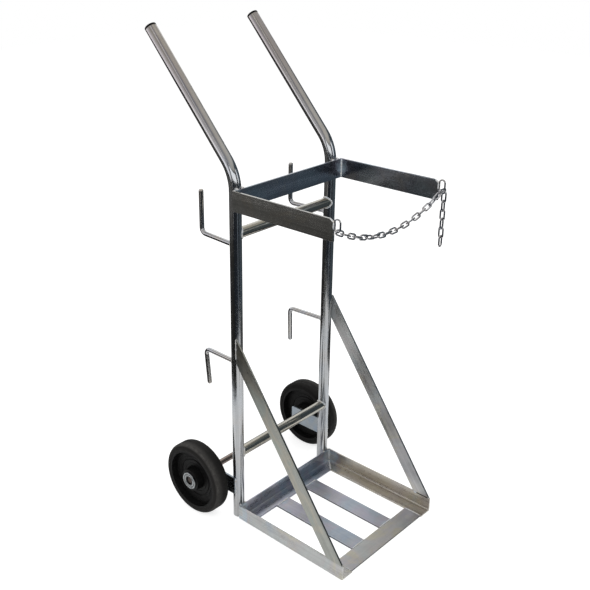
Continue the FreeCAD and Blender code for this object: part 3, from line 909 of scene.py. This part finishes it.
@dataclass
class Yoke:
    """Back bar and two arms that hold the cylinders, welded to the uprights.

    Fields that end in bead are radii of beads; the small lengths beside them are steps from the edges.
    """

    tubes: TubeFrame
    inner_x: float
    front_y: float
    rear_y: float
    low_z: float
    high_z: float
    tip_y: float
    corner_bead: float = 0.0026
    rear_bead: float = 0.00208
    edge_bead: float = 0.0014
    tube_bead: float = 0.0030
    tube_sink: float = 0.0012
    groove: float = 0.62
    cap_bead: float = 0.0032
    cap_half: float = 0.004
    start: float = 0.002
    stop: float = 0.001
    eye_bead: float = 0.0020
    eye_side: float = 0.0021
    eye_front: float = 0.0005
    eye_start: float = 0.007
    eye_stop: float = 0.011
    cut_bead: float = 0.0024
    cut_path: tuple[tuple[float, float], ...] = ((0.011, -0.0008), (0.0005, -0.0075), (-0.0008, -0.0120))

    @classmethod
    def measured(cls, tubes: TubeFrame) -> "Yoke":
        """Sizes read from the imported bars.

        Args:
            tubes: the tube frame that carries it.

        Returns:
            The yoke.
        """
        low, high = corners("yoke_back_bar")
        arm_low, _ = corners("right_yoke_arm")
        return cls(tubes, float(arm_low[0]), low[1], high[1], low[2], high[2], float(arm_low[1]))

    def build(self) -> None:
        """Beads in the corners between bar and arms and in the grooves between bar and tubes."""
        welds = WeldSet("yoke_welds")
        bottom, top = self.low_z + self.start, self.high_z - self.stop
        groove = self.groove * self.tubes.radius
        seat_y = self.rear_y + self.tube_sink
        for side in SIDES.values():
            x = side * self.inner_x
            welds.post(x, self.front_y, bottom, top, self.corner_bead)
            welds.post(x, self.rear_y, bottom, top, self.rear_bead)
            welds.line((x, self.rear_y, self.high_z), (x, self.front_y, self.high_z), self.edge_bead)
            for edge in (-1, 1):
                gx = side * self.tubes.upright_x + edge * groove
                welds.post(gx, seat_y, bottom, top, self.tube_bead)
                welds.line((gx - self.cap_half, self.rear_y, self.high_z),
                           (gx + self.cap_half, self.rear_y, self.high_z), self.cap_bead)
        for name in SIDES:
            self.tip_beads(welds, name)
        welds.done()

    def tip_beads(self, welds: WeldSet, name: str) -> None:
        """Beads that hold an eye: down both sides of it, and along the cut path over the arm's cut corner.

        Args:
            welds: the set that takes them.
            name: left or right.
        """
        low, high = corners(f"{name}_chain_eye")
        x = (low[0] + high[0]) / 2
        for edge in (-1, 1):
            welds.post(x + edge * self.eye_side, self.tip_y - self.eye_front, low[2] + self.eye_start,
                       high[2] - self.eye_stop, self.eye_bead)
        cut = [(x, self.tip_y + back, self.high_z + up) for back, up in self.cut_path]
        welds.lay(np.array(cut), self.cut_bead)

    def dress(self) -> None:
        """Rolled flat bar, lines along each bar; the corners keep the heat colours of their welds."""
        middle = float(self.low_z + self.high_z) / 2
        corner = tuple((side * self.inner_x, float(self.front_y), middle) for side in SIDES.values())
        coat(["yoke_back_bar"], BarZinc("rolled_zinc_back_bar", Grain.ACROSS, Film.SLATE, 0.17, 0.25,
                                        heat=corner, heat_size=0.060, heat_peak=0.65))
        coat(["left_yoke_arm"], BarZinc("rolled_zinc_left_arm", Grain.FORWARD, Film.UMBER, 0.15, 0.23))
        coat(["right_yoke_arm"], BarZinc("rolled_zinc_right_arm", Grain.FORWARD, Film.SLATE, 0.15, 0.23,
                                         heat=corner[1:], heat_size=0.040, heat_peak=0.7))


@dataclass
class BaseTray:
    """Angle bar tray with a flat front bar and slats, and the diagonal braces that hold it up.

    Fields that end in bead are radii of beads; the small lengths beside them are steps from the edges.
    """

    tubes: TubeFrame
    outer_x: float
    front_y: float
    rear_y: float
    leg: float
    thick: float
    slat_w: float = 0.050
    brace_t: float = 0.005
    brace_w: float = 0.040
    mitre_bead: float = 0.00228
    corner_bead: float = 0.00304
    tack_bead: float = 0.00247
    # radius of the dark line of painted shade under each brace foot
    gap_shade_bead: float = 0.00133
    toe_bead: float = 0.0019
    sink: float = 0.0002
    inset: float = 0.002
    stop: float = 0.001
    mitre_start: tuple[float, float, float] = (0.003, 0.007, 0.0008)
    corner_in: float = 0.0003
    corner_start: float = 0.003
    bar_bead: float = 0.0014
    slat_bead: float = 0.0018
    tube_side: float = 0.0088
    tube_sink: float = 0.0012
    tube_bead: float = 0.0026
    cap_half: float = 0.003
    cap_bead: float = 0.0024
    top_side: float = 0.0022
    top_start: float = 0.010
    top_bead: float = 0.0028
    tack_back: float = 0.010
    tack_length: float = 0.009
    gap_shade_start: float = 0.004
    gap_shade_up: float = 0.0004
    toe_back: float = 0.0005
    toe_side: float = 0.0012

    @classmethod
    def measured(cls, tubes: TubeFrame) -> "BaseTray":
        """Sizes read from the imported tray.

        Args:
            tubes: the tube frame that carries it.

        Returns:
            The tray.
        """
        low, high = corners("right_base_angle")
        slat_low, slat_high = corners("base_slats")
        return cls(tubes, float(high[0]), float(low[1]), float(high[1]), high[2] - low[2],
                   slat_high[2] - slat_low[2])

    def tray_beads(self, welds: WeldSet) -> None:
        """Beads of the tray: mitres, slat ends, front bar ends and the joint with the uprights.

        Args:
            welds: the set that takes them.
        """
        flange = self.outer_x - self.leg
        root = self.outer_x - self.thick
        slat_low, slat_high = corners("base_slats")
        bar_low, bar_high = corners("base_front_bar")
        top, back, seat_y = self.thick - self.sink, self.rear_y - self.thick, self.rear_y + self.tube_sink
        step_x, step_y, step_z = self.mitre_start
        for side in SIDES.values():
            welds.line((side * (root - step_x), self.rear_y - step_y, top + step_z),
                       (side * (flange + self.inset), self.rear_y - self.leg + self.inset, top),
                       self.mitre_bead)
            welds.post(side * (root + self.corner_in), back, self.thick + self.corner_start,
                       self.leg - self.stop, self.corner_bead)
            welds.line((side * flange, bar_low[1] + self.inset, top),
                       (side * flange, bar_high[1] - self.inset, top), self.bar_bead)
            for edge in (-1, 1):
                x = side * self.tubes.upright_x + edge * self.tube_side
                welds.post(x, seat_y, self.inset, self.leg - self.stop, self.tube_bead)
                welds.line((x - self.cap_half, self.rear_y, self.leg),
                           (x + self.cap_half, self.rear_y, self.leg), self.cap_bead)
            near = slat_high[0] if side > 0 else slat_low[0]
            far = near - side * self.slat_w
            for y in (slat_low[1], slat_high[1]):
                welds.line((far + side * self.inset, y, top), (near - side * self.inset, y, top),
                           self.slat_bead)

    def brace_beads(self, welds: WeldSet, gap_shade: WeldSet) -> None:
        """Beads of the braces: up the tube at the top, tack and toe at the foot, and between them a dark
        line of painted shade for the gap under the foot.

        Args:
            welds: the set that takes the beads.
            gap_shade: the set that takes the dark lines of painted shade.
        """
        low, high = corners("right_brace")
        slope = (high[2] - low[2]) / (high[1] - low[1])
        upright_cut = self.brace_w * math.sqrt(1.0 + slope ** 2)
        foot = upright_cut / slope
        for side in SIDES.values():
            welds.post(side * (self.outer_x - self.top_side), high[1] + self.tube_sink,
                       high[2] - upright_cut + self.top_start, high[2] - self.stop, self.top_bead)
            inner = side * (self.outer_x - self.brace_t)
            tack = low[1] + foot - self.tack_back
            welds.line((inner, tack, self.leg), (inner, tack + self.tack_length, self.leg), self.tack_bead)
            # a dark bead along the foot stands for the shadowed gap: painted shade
            gap_shade_z, toe_y = self.leg + self.gap_shade_up, low[1] + self.toe_back
            gap_shade.line((inner, low[1] + self.gap_shade_start, gap_shade_z), (inner, tack, gap_shade_z), self.gap_shade_bead)
            welds.line((inner, toe_y, self.leg), (side * (self.outer_x - self.toe_side), toe_y, self.leg),
                       self.toe_bead)

    def build(self) -> None:
        """Weld beads of tray and braces, and the dark lines of painted shade under the brace feet."""
        welds = WeldSet("tray_welds")
        gap_shade = WeldSet("brace_burnt_lines")
        self.tray_beads(welds)
        self.brace_beads(welds, gap_shade)
        welds.done()
        # near-black weld finish for the painted shade in the gaps
        gap_shade.done(WeldZinc("painted_gap_shade", (0.020, 0.020, 0.024), (0.034, 0.032, 0.030),
                            (0.060, 0.048, 0.036)))

    def dress(self) -> None:
        """Rolled bar, lines along each bar; the slats and the front bar are a little duller and get painted
        shade on their upright edges.
        """
        slat_low, slat_high = corners("base_slats")
        corner_x, corner_y = self.outer_x - self.thick, self.rear_y - self.thick
        rear = tuple((side * corner_x, corner_y, self.leg / 2) for side in SIDES.values())
        front = tuple((side * (self.outer_x - self.leg), self.front_y + self.slat_w / 2, self.thick)
                      for side in SIDES.values())
        ends = tuple((float(x), float(y), self.thick)
                     for x in (slat_low[0] + self.slat_w / 2, slat_high[0] - self.slat_w / 2)
                     for y in (slat_low[1], slat_high[1]))
        finishes = {
            "base_rear_angle": BarZinc("rolled_zinc_rear_angle", Grain.ACROSS, Film.MIST, heat=rear),
            "base_front_bar": BarZinc("rolled_zinc_front_bar", Grain.ACROSS, Film.STRAW, 0.30, 0.44, 0.35,
                                      front, 0.070, 0.42, True),
            "left_base_angle": BarZinc("rolled_zinc_left_angle", Grain.FORWARD, Film.SILVER, heat=rear[:1]),
            "right_base_angle": BarZinc("rolled_zinc_right_angle", Grain.FORWARD, Film.AMBER,
                                        heat=rear[1:]),
            "base_slats": BarZinc("rolled_zinc_slat", Grain.FORWARD, Film.LILAC, 0.30, 0.44, 0.7,
                                  ends, 0.030, 0.6, True),
            "left_brace": BarZinc("rolled_zinc_left_brace", Grain.BRACE, Film.OLIVE),
            "right_brace": BarZinc("rolled_zinc_right_brace", Grain.BRACE, Film.SILVER),
        }
        for node, finish in finishes.items():
            coat([node], finish)


@dataclass
class HoseHooks:
    """Bent rod hooks on the rear of the uprights."""

    tubes: TubeFrame
    rod: float = 0.006
    bead: float = 0.0017
    points: int = 48

    def foot(self, node: str, upward: bool, side: int) -> np.ndarray:
        """Where a hook's rod meets the upright.

        A point goes round the rod by angle a: x = r cos a, z = r sin a, and y follows the tube's round
        face, y = Y + sqrt(R^2 - x^2).

        Args:
            node: the hook.
            upward: True where the rod leaves at the hook's lowest point.
            side: -1 left, 1 right.

        Returns:
            A closed path.
        """
        low, high = corners(node)
        z = low[2] + self.rod if upward else high[2] - self.rod
        angle = circle(self.points)
        stand = self.tubes.stand * self.bead
        reach = self.rod + stand
        x = reach * np.cos(angle)
        y = self.tubes.upright_y + np.sqrt((self.tubes.radius + stand) ** 2 - x ** 2)
        return np.stack([side * self.tubes.upright_x + x, y, z + reach * np.sin(angle)], -1)

    def build(self) -> None:
        """Ring welds at the hooks' feet."""
        welds = WeldSet("hook_welds")
        for name, side in SIDES.items():
            welds.lay(self.foot(f"{name}_upper_hook", True, side), self.bead, closed=True)
            welds.lay(self.foot(f"{name}_lower_hook", False, side), self.bead, closed=True)
        welds.done()

    def dress(self) -> None:
        """Warm zinc on the rods."""
        coat(both("upper_hook") + both("lower_hook"), RodZinc("bent_rod_zinc"))


@dataclass
class AxleGroup:
    """Axle, the plates that carry it and the pieces that stay with it.

    Fields that end in bead are radii of beads; the small lengths beside them are steps from the edges.
    """

    tubes: TubeFrame
    axle_y: float
    axle_z: float
    axle_r: float
    axle_half: float
    plate_in: float
    plate_front: float
    plate_low: float
    plate_high: float
    bead: float = 0.0024
    inset: float = 0.002
    front_side: float = 0.0004
    front_out: float = 0.0006
    rear_side: float = 0.0014
    rear_back: float = 0.0088
    ring_bead: float = 0.0020
    ring_out: float = 0.0005
    ring_side: float = 0.0003
    points: int = 60

    @classmethod
    def measured(cls, tubes: TubeFrame) -> "AxleGroup":
        """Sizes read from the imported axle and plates.

        Args:
            tubes: the tube frame that carries it.

        Returns:
            The axle group.
        """
        low, high = corners("axle")
        plate_low, plate_high = corners("right_axle_plate")
        return cls(tubes, (low[1] + high[1]) / 2, (low[2] + high[2]) / 2, (high[2] - low[2]) / 2,
                   float(high[0]), float(plate_low[0]), float(plate_low[1]), float(plate_low[2]),
                   float(plate_high[2]))

    def build(self) -> None:
        """Beads between plates and uprights, and a ring of weld round the axle inside each plate."""
        welds = WeldSet("axle_welds")
        angle, ring = circle(self.points), self.axle_r + self.ring_out
        bottom, top = self.plate_low + self.inset, self.plate_high - self.inset
        rear_y = self.tubes.upright_y + self.rear_back
        for side in SIDES.values():
            x = side * self.plate_in
            welds.post(x + side * self.front_side, self.plate_front - self.front_out, bottom, top,
                       self.bead)
            welds.post(x - side * self.rear_side, rear_y, bottom, top, self.bead)
            path = np.stack([np.full(self.points, x - side * self.ring_side),
                             self.axle_y + ring * np.cos(angle), self.axle_z + ring * np.sin(angle)], -1)
            welds.lay(path, self.ring_bead, closed=True)
        welds.done()

    def dress(self) -> None:
        """Rolled plate, turned axle and collars, spring steel rings, ground bearing rings."""
        coat(both("axle_plate"), BarZinc("rolled_zinc_plate", Grain.FORWARD, Film.PEWTER, streak=0.5))
        line = (self.axle_y, self.axle_z)
        # the axle's ends get painted shade
        coat(["axle"], TurnedSteel("turned_axle", *line, (0.40, 0.33, 0.30), end_x=self.axle_half))
        coat(both("axle_collar") + both("distance_tube"),
             TurnedSteel("turned_collar", *line, (0.56, 0.55, 0.54)))
        coat(both("retaining_ring"), TurnedSteel("spring_ring", *line, (0.12, 0.11, 0.11)))
        coat(both("bearing_inner_rings"),
             TurnedSteel("bearing_inner", *line, (0.60, 0.60, 0.61), 0.0004, 0.10, 0.22))


@dataclass
class Wheel:
    """One wheel: rubber tyre on a moulded centre with a steel hub."""

    side: str
    axle_y: float
    axle_z: float
    web_half: float = 0.007
    rib_radii: tuple[float, float, float] = (0.0405, 0.0590, 0.0690)
    rib: float = 0.0011
    ridge_radii: tuple[float, float] = (0.0214, 0.0152)
    ridge: float = 0.0009
    ridge_sink: float = 0.0005
    around: int = 160
    section: int = 10

    @property
    def body(self) -> str:
        """Name of the wheel's body."""
        return f"{self.side}_wheel"

    @property
    def line(self) -> tuple[float, float]:
        """Place of the axle line."""
        return self.axle_y, self.axle_z

    def rib_rings(self, radius: float, x: float, size: float) -> np.ndarray:
        """A moulded rib or pressed ridge: a small circle carried round the axle.

        Ring i stands at angle a about the axle; its point at angle b lies at distance radius + c cos b
        from the axle and at x - c sin b along it, which turns the ring right-handed about its path.

        Args:
            radius: the rib's radius about the axle.
            x: where its middle stands along the axle.
            size: radius c of the small circle.

        Returns:
            Points (around, section, 3).
        """
        a, b = circle(self.around)[:, None], circle(self.section)[None, :]
        reach = radius + size * np.cos(b)
        return np.stack([x - size * np.sin(b) + 0.0 * a, self.axle_y + reach * np.cos(a),
                         self.axle_z + reach * np.sin(a)], -1)

    def build(self) -> None:
        """Moulded ribs on both faces of the web, pressed ridges on both hub caps."""
        low, high = corners(f"{self.side}_wheel_centre")
        cap_low, cap_high = corners(f"{self.side}_hub_caps")
        middle = (low[0] + high[0]) / 2
        ribs, ridges = Shell(), Shell()
        for face, cap in ((-1, cap_low[0] + self.ridge_sink), (1, cap_high[0] - self.ridge_sink)):
            for radius in self.rib_radii:
                ribs.add_tube(self.rib_rings(radius, middle + face * self.web_half, self.rib), closed=True)
            for radius in self.ridge_radii:
                ridges.add_tube(self.rib_rings(radius, cap, self.ridge), closed=True)
        ribs.piece(f"{self.side}_web_ribs", self.body, "wheel_plastic", self.plastic())
        ridges.piece(f"{self.side}_hub_ridges", self.body, "zinc_rod", self.bright())

    def plastic(self) -> MouldedPlastic:
        """The finish of the wheel centre."""
        return MouldedPlastic("wheel_plastic_black", *self.line)

    def bright(self) -> TurnedSteel:
        """The finish of the pressed ridges."""
        return TurnedSteel("pressed_hub_ridge", *self.line, (0.70, 0.73, 0.75), 0.0004, 0.08, 0.20)

    def dress(self) -> None:
        """Rubber, moulded plastic, bright hub sleeve and caps, bearing steel."""
        low, high = corners(f"{self.side}_tyre")
        middle, half = abs(float(low[0] + high[0])) / 2, float(high[0] - low[0]) / 2
        steel = TurnedSteel("turned_hub", *self.line, (0.20, 0.215, 0.225), 0.0012, 0.12, 0.28)
        finishes = {
            "tyre": TyreRubber("tyre_rubber_black", *self.line, middle, half),
            "wheel_centre": self.plastic(),
            "hub_sleeve": steel,
            "hub_caps": steel,
            "bearing_outer_rings": TurnedSteel("bearing_outer", *self.line, (0.60, 0.60, 0.61),
                                               0.0004, 0.10, 0.22),
            "bearing_balls": RodZinc("ball_steel", (0.62, 0.62, 0.63), (0.58, 0.57, 0.56), 0.05, 0.12),
        }
        for name, finish in finishes.items():
            coat([f"{self.side}_{name}"], finish)


@dataclass
class SafetyChain:
    """Welded link chain across the yoke with its eyes and hanging tail."""

    links: RodZinc = RodZinc("link_zinc", (0.56, 0.57, 0.60), (0.58, 0.56, 0.56), 0.04, 0.11)
    eyes: RodZinc = RodZinc("eye_zinc")

    def build(self) -> None:
        """Add nothing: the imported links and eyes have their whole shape."""
        LOG.info("chain: packed links only")

    def dress(self) -> None:
        """Bright zinc on the links, the eyes a little duller."""
        coat(["chain_sling", "chain_tail"] + both("end_link"), self.links)
        coat(both("chain_eye"), self.eyes)


@dataclass(frozen=True)
class PhotoCamera:
    """Camera at the photograph's angle, for a square picture."""

    place: Point = (-1.59506, -1.37532, 1.52304)
    heading: float = 46.0
    tilt: float = 22.74
    roll: float = -0.34
    focal: float = 897.44
    centre: tuple[float, float] = (249.1, 281.1)
    picture: float = 590.0
    sensor: float = 36.0

    def build(self) -> None:
        """Point the camera: heading from +Y towards +X, tilt downwards, roll about the line of sight."""
        turn, tilt, roll = (math.radians(v) for v in (self.heading, self.tilt, self.roll))
        sight = Vector((math.sin(turn) * math.cos(tilt), math.cos(turn) * math.cos(tilt), -math.sin(tilt)))
        right = sight.cross(Vector((0.0, 0.0, 1.0))).normalized()
        up = right.cross(sight)
        right, up = (math.cos(roll) * right + math.sin(roll) * up,
                     math.cos(roll) * up - math.sin(roll) * right)
        lens = bpy.data.cameras.new("photo_camera")
        lens.sensor_width = self.sensor
        lens.lens = self.focal / self.picture * self.sensor
        lens.shift_x = (self.picture / 2 - self.centre[0]) / self.picture
        lens.shift_y = (self.centre[1] - self.picture / 2) / self.picture
        holder = bpy.data.objects.new("photo_camera", lens)
        turned = Matrix((right, up, -sight)).transposed().to_4x4()
        holder.matrix_world = Matrix.Translation(Vector(self.place)) @ turned
        bpy.context.scene.collection.objects.link(holder)
        bpy.context.scene.camera = holder
        LOG.info("camera at %s", self.place)


@dataclass(frozen=True)
class Lamp:
    """A square soft lamp aimed at a point; bright metal mirrors the screens and windows instead of it."""

    name: str
    place: Point
    aim: Point
    size: float
    power: float

    def build(self) -> None:
        """Hang the lamp."""
        light = bpy.data.lights.new(self.name, "AREA")
        light.shape = "SQUARE"
        light.size = self.size
        light.energy = self.power
        holder = bpy.data.objects.new(self.name, light)
        holder.location = self.place
        holder.rotation_euler = (Vector(self.aim) - Vector(self.place)).to_track_quat("-Z", "Y").to_euler()
        holder.visible_glossy = False
        bpy.context.scene.collection.objects.link(holder)


@dataclass(frozen=True)
class Screen:
    """A sheet round the floor, seen only in reflections, that gives bright metal its dark and light tones.

    It stands on a circle, or lies flat as a ring where it has a reach.
    """

    name: str
    start: float
    end: float
    radius: float
    low: float
    height: float
    foot: Colour
    head: Optional[Colour] = None
    turn: float = 0.0
    band: float = 0.35
    reach: float = 0.0
    steps: int = 49

    def build(self) -> None:
        """Set it up: a point at angle a and share t lies at (r cos a, r sin a, h(t)), r = R + t reach."""
        a = np.radians(np.linspace(self.start, self.end, self.steps))[:, None]
        t = np.linspace(0.0, 1.0, 3)[None, :]
        out = self.radius + self.reach * t
        level = self.low + (self.height - self.low) * t + 0.0 * a
        made = stage_sheet(self.name, np.stack([out * np.cos(a), out * np.sin(a), level], -1))
        made.data.materials.append(self.cloth())
        made.visible_camera = False
        made.visible_diffuse = False
        made.visible_shadow = False
        made.visible_transmission = False

    def cloth(self) -> bpy.types.Material:
        """Cloth that keeps its tone in any light: the foot's tone passes to the head's about one height.

        Returns:
            The material.
        """
        s = Surface(self.name)
        tone: Union[Colour, Socket] = self.foot
        if self.head is not None:
            part = s.remap(s.height(), self.turn - self.band, self.turn + self.band, 0.0, 1.0)
            tone = s.mix(part, self.foot, self.head)
        s.put(s.shader.inputs["Emission Color"], tone)
        s.shader.inputs["Emission Strength"].default_value = 1.0
        s.shader.inputs["Base Color"].default_value = (0.0, 0.0, 0.0, 1.0)
        s.shader.inputs["Specular IOR Level"].default_value = 0.0
        return s.material


def stage_sheet(name: str, points: np.ndarray) -> bpy.types.Object:
    """A sheet over a grid of points that belongs to the stage.

    Args:
        name: the object's name.
        points: array (rows, columns, 3).

    Returns:
        The object, with no material.
    """
    rows, columns, _ = points.shape
    i, j = np.meshgrid(np.arange(rows - 1), np.arange(columns - 1), indexing="ij")
    first, after = i * columns + j, (i + 1) * columns + j
    quads = np.stack([first, after, after + 1, first + 1], -1)
    mesh = bpy.data.meshes.new(name)
    mesh.from_pydata(points.reshape(-1, 3).tolist(), [], quads.reshape(-1, 4).tolist())
    made = bpy.data.objects.new(name, mesh)
    bpy.context.scene.collection.objects.link(made)
    return made


@dataclass(frozen=True)
class Studio:
    """Pale floor, white surround and soft light."""

    floor_half: float = 8.0
    floor_grey: float = 0.55
    floor_cloud: float = 0.7
    floor_dim: float = 0.99
    floor_lift: float = 0.72
    floor_mirror: float = 0.32
    surround: float = 0.55
    lamps: tuple[Lamp, ...] = (
        Lamp("key_lamp", (-2.6, -1.6, 3.2), (0.0, 0.0, 0.6), 1.6, 60.0),
        Lamp("side_lamp", (2.4, -2.2, 2.6), (0.0, 0.0, 0.6), 1.4, 34.0),
        Lamp("rear_lamp", (0.8, 2.8, 3.2), (0.0, 0.0, 0.6), 1.4, 38.0),
    )
    screens: tuple[Screen, ...] = (
        Screen("screen_left", 95.0, 185.0, 2.45, 0.0, 6.0,
               (0.024, 0.022, 0.020), (0.46, 0.44, 0.42), 0.68, 0.03),
        Screen("screen_front", 185.0, 290.0, 1.10, 0.0, 5.0,
               (0.022, 0.026, 0.032), (0.61, 0.575, 0.52), 1.50, 0.10),
        Screen("screen_right", 290.0, 380.0, 1.10, 0.0, 5.0,
               (0.068, 0.086, 0.102), (0.60, 0.58, 0.54), 1.78, 0.15),
        Screen("screen_post", 187.0, 220.0, 1.09, 1.40, 5.0, (0.36, 0.355, 0.37)),
        Screen("screen_rear", 20.0, 95.0, 1.10, 0.0, 0.32, (0.06, 0.062, 0.066)),
        Screen("screen_corner", 50.0, 95.0, 2.45, 0.0, 0.62, (0.04, 0.04, 0.04)),
        Screen("screen_curb", -10.0, 95.0, 0.62, 0.0, 0.12, (0.12, 0.12, 0.12)),
        Screen("floor_rear", 20.0, 95.0, 0.64, 0.01, 0.01, (0.04, 0.04, 0.04), reach=5.5),
        Screen("floor_left", 95.0, 200.0, 0.80, 0.01, 0.01, (0.024, 0.024, 0.023), reach=1.66),
        Screen("floor_right", 285.0, 380.0, 0.70, 0.01, 0.01, (0.05, 0.05, 0.05), reach=0.4),
        Screen("screen_strip", 246.0, 254.0, 1.06, 0.0, 0.9, (0.22, 0.26, 0.30)),
        Screen("screen_skirt", 105.0, 170.0, 2.44, 0.0, 0.32, (0.118, 0.115, 0.110)),
        Screen("window_left", 97.0, 180.0, 2.43, 0.70, 2.10,
               (1.35, 1.32, 1.34), (0.64, 0.62, 0.655), 1.22, 0.24),
        Screen("window_front", 196.0, 262.0, 1.07, 1.00, 1.38, (1.35, 1.34, 1.33)),
        Screen("window_right", 290.0, 306.0, 1.07, 0.95, 1.50, (1.50, 1.50, 1.50)),
        Screen("screen_pane", 306.0, 330.0, 1.07, 1.00, 1.38, (0.20, 0.225, 0.24)),
    )

    def seen_level(self, tree: bpy.types.NodeTree, camera: float, mirror: float, other: float) -> Socket:
        """A brightness by the kind of ray: from the camera, reflected or passed through, and the rest.

        Args:
            tree: where the nodes go.
            camera: value for rays from the camera.
            mirror: value for reflected and transmitted rays.
            other: value for rays that only carry light to the object.

        Returns:
            The value.
        """
        path = tree.nodes.new("ShaderNodeLightPath")
        level: Value = other
        kinds = {"Is Transmission Ray": mirror, "Is Glossy Ray": mirror, "Is Camera Ray": camera}
        for name, value in kinds.items():
            pick = tree.nodes.new("ShaderNodeMix")
            pick.data_type = "FLOAT"
            tree.links.new(path.outputs[name], pick.inputs[0])
            if isinstance(level, bpy.types.NodeSocket):
                tree.links.new(level, pick.inputs[2])
            else:
                pick.inputs[2].default_value = level
            pick.inputs[3].default_value = value
            level = pick.outputs[0]
        return level

    def surround_light(self) -> None:
        """White surround where it is seen, softer where it only lights the object."""
        world = bpy.data.worlds.new("white_surround")
        bpy.context.scene.world = world
        world.use_nodes = True
        tree = world.node_tree
        back = tree.nodes["Background"]
        back.inputs["Color"].default_value = (1.0, 1.0, 1.0, 1.0)
        tree.links.new(self.seen_level(tree, 1.0, 1.0, self.surround), back.inputs["Strength"])

    def floor(self) -> None:
        """Flat pale floor that keeps the soft shadow and lifts towards white where it is seen."""
        side = np.linspace(-self.floor_half, self.floor_half, 9)
        x, y = np.meshgrid(side, side, indexing="ij")
        made = stage_sheet("studio_floor", np.stack([x, y, np.zeros_like(x)], -1))
        s = Surface("studio_floor")
        cloud = s.noise(s.point, self.floor_cloud, 2.0)
        grey = s.remap(cloud, 0.35, 0.65, self.floor_grey * self.floor_dim, self.floor_grey)
        s.put(s.shader.inputs["Base Color"], s.grey(grey))
        s.shader.inputs["Roughness"].default_value = 1.0
        s.shader.inputs["Specular IOR Level"].default_value = 0.0
        s.shader.inputs["Emission Color"].default_value = (1.0, 1.0, 1.0, 1.0)
        lift = self.seen_level(s.tree, self.floor_lift, self.floor_mirror, 0.0)
        s.put(s.shader.inputs["Emission Strength"], lift)
        made.data.materials.append(s.material)

    def build(self) -> None:
        """Set the stage."""
        bpy.context.scene.view_settings.view_transform = "Standard"
        self.surround_light()
        self.floor()
        for lamp in self.lamps:
            lamp.build()
        for screen in self.screens:
            screen.build()
        LOG.info("stage: floor, %d lamps, %d screens", len(self.lamps), len(self.screens))


def main() -> None:
    """Build and dress each sub-assembly in order, then set the stage."""
    logging.basicConfig(level=logging.INFO, format="%(message)s", stream=sys.stdout)
    PhotoCamera().build()
    tubes = TubeFrame.measured()
    axle = AxleGroup.measured(tubes)
    groups = [tubes, Yoke.measured(tubes), BaseTray.measured(tubes), HoseHooks(tubes), axle,
              *(Wheel(side, axle.axle_y, axle.axle_z) for side in SIDES), SafetyChain()]
    for group in groups:
        group.build()
        group.dress()
    Studio().build()


if __name__ == "__main__":
    main()
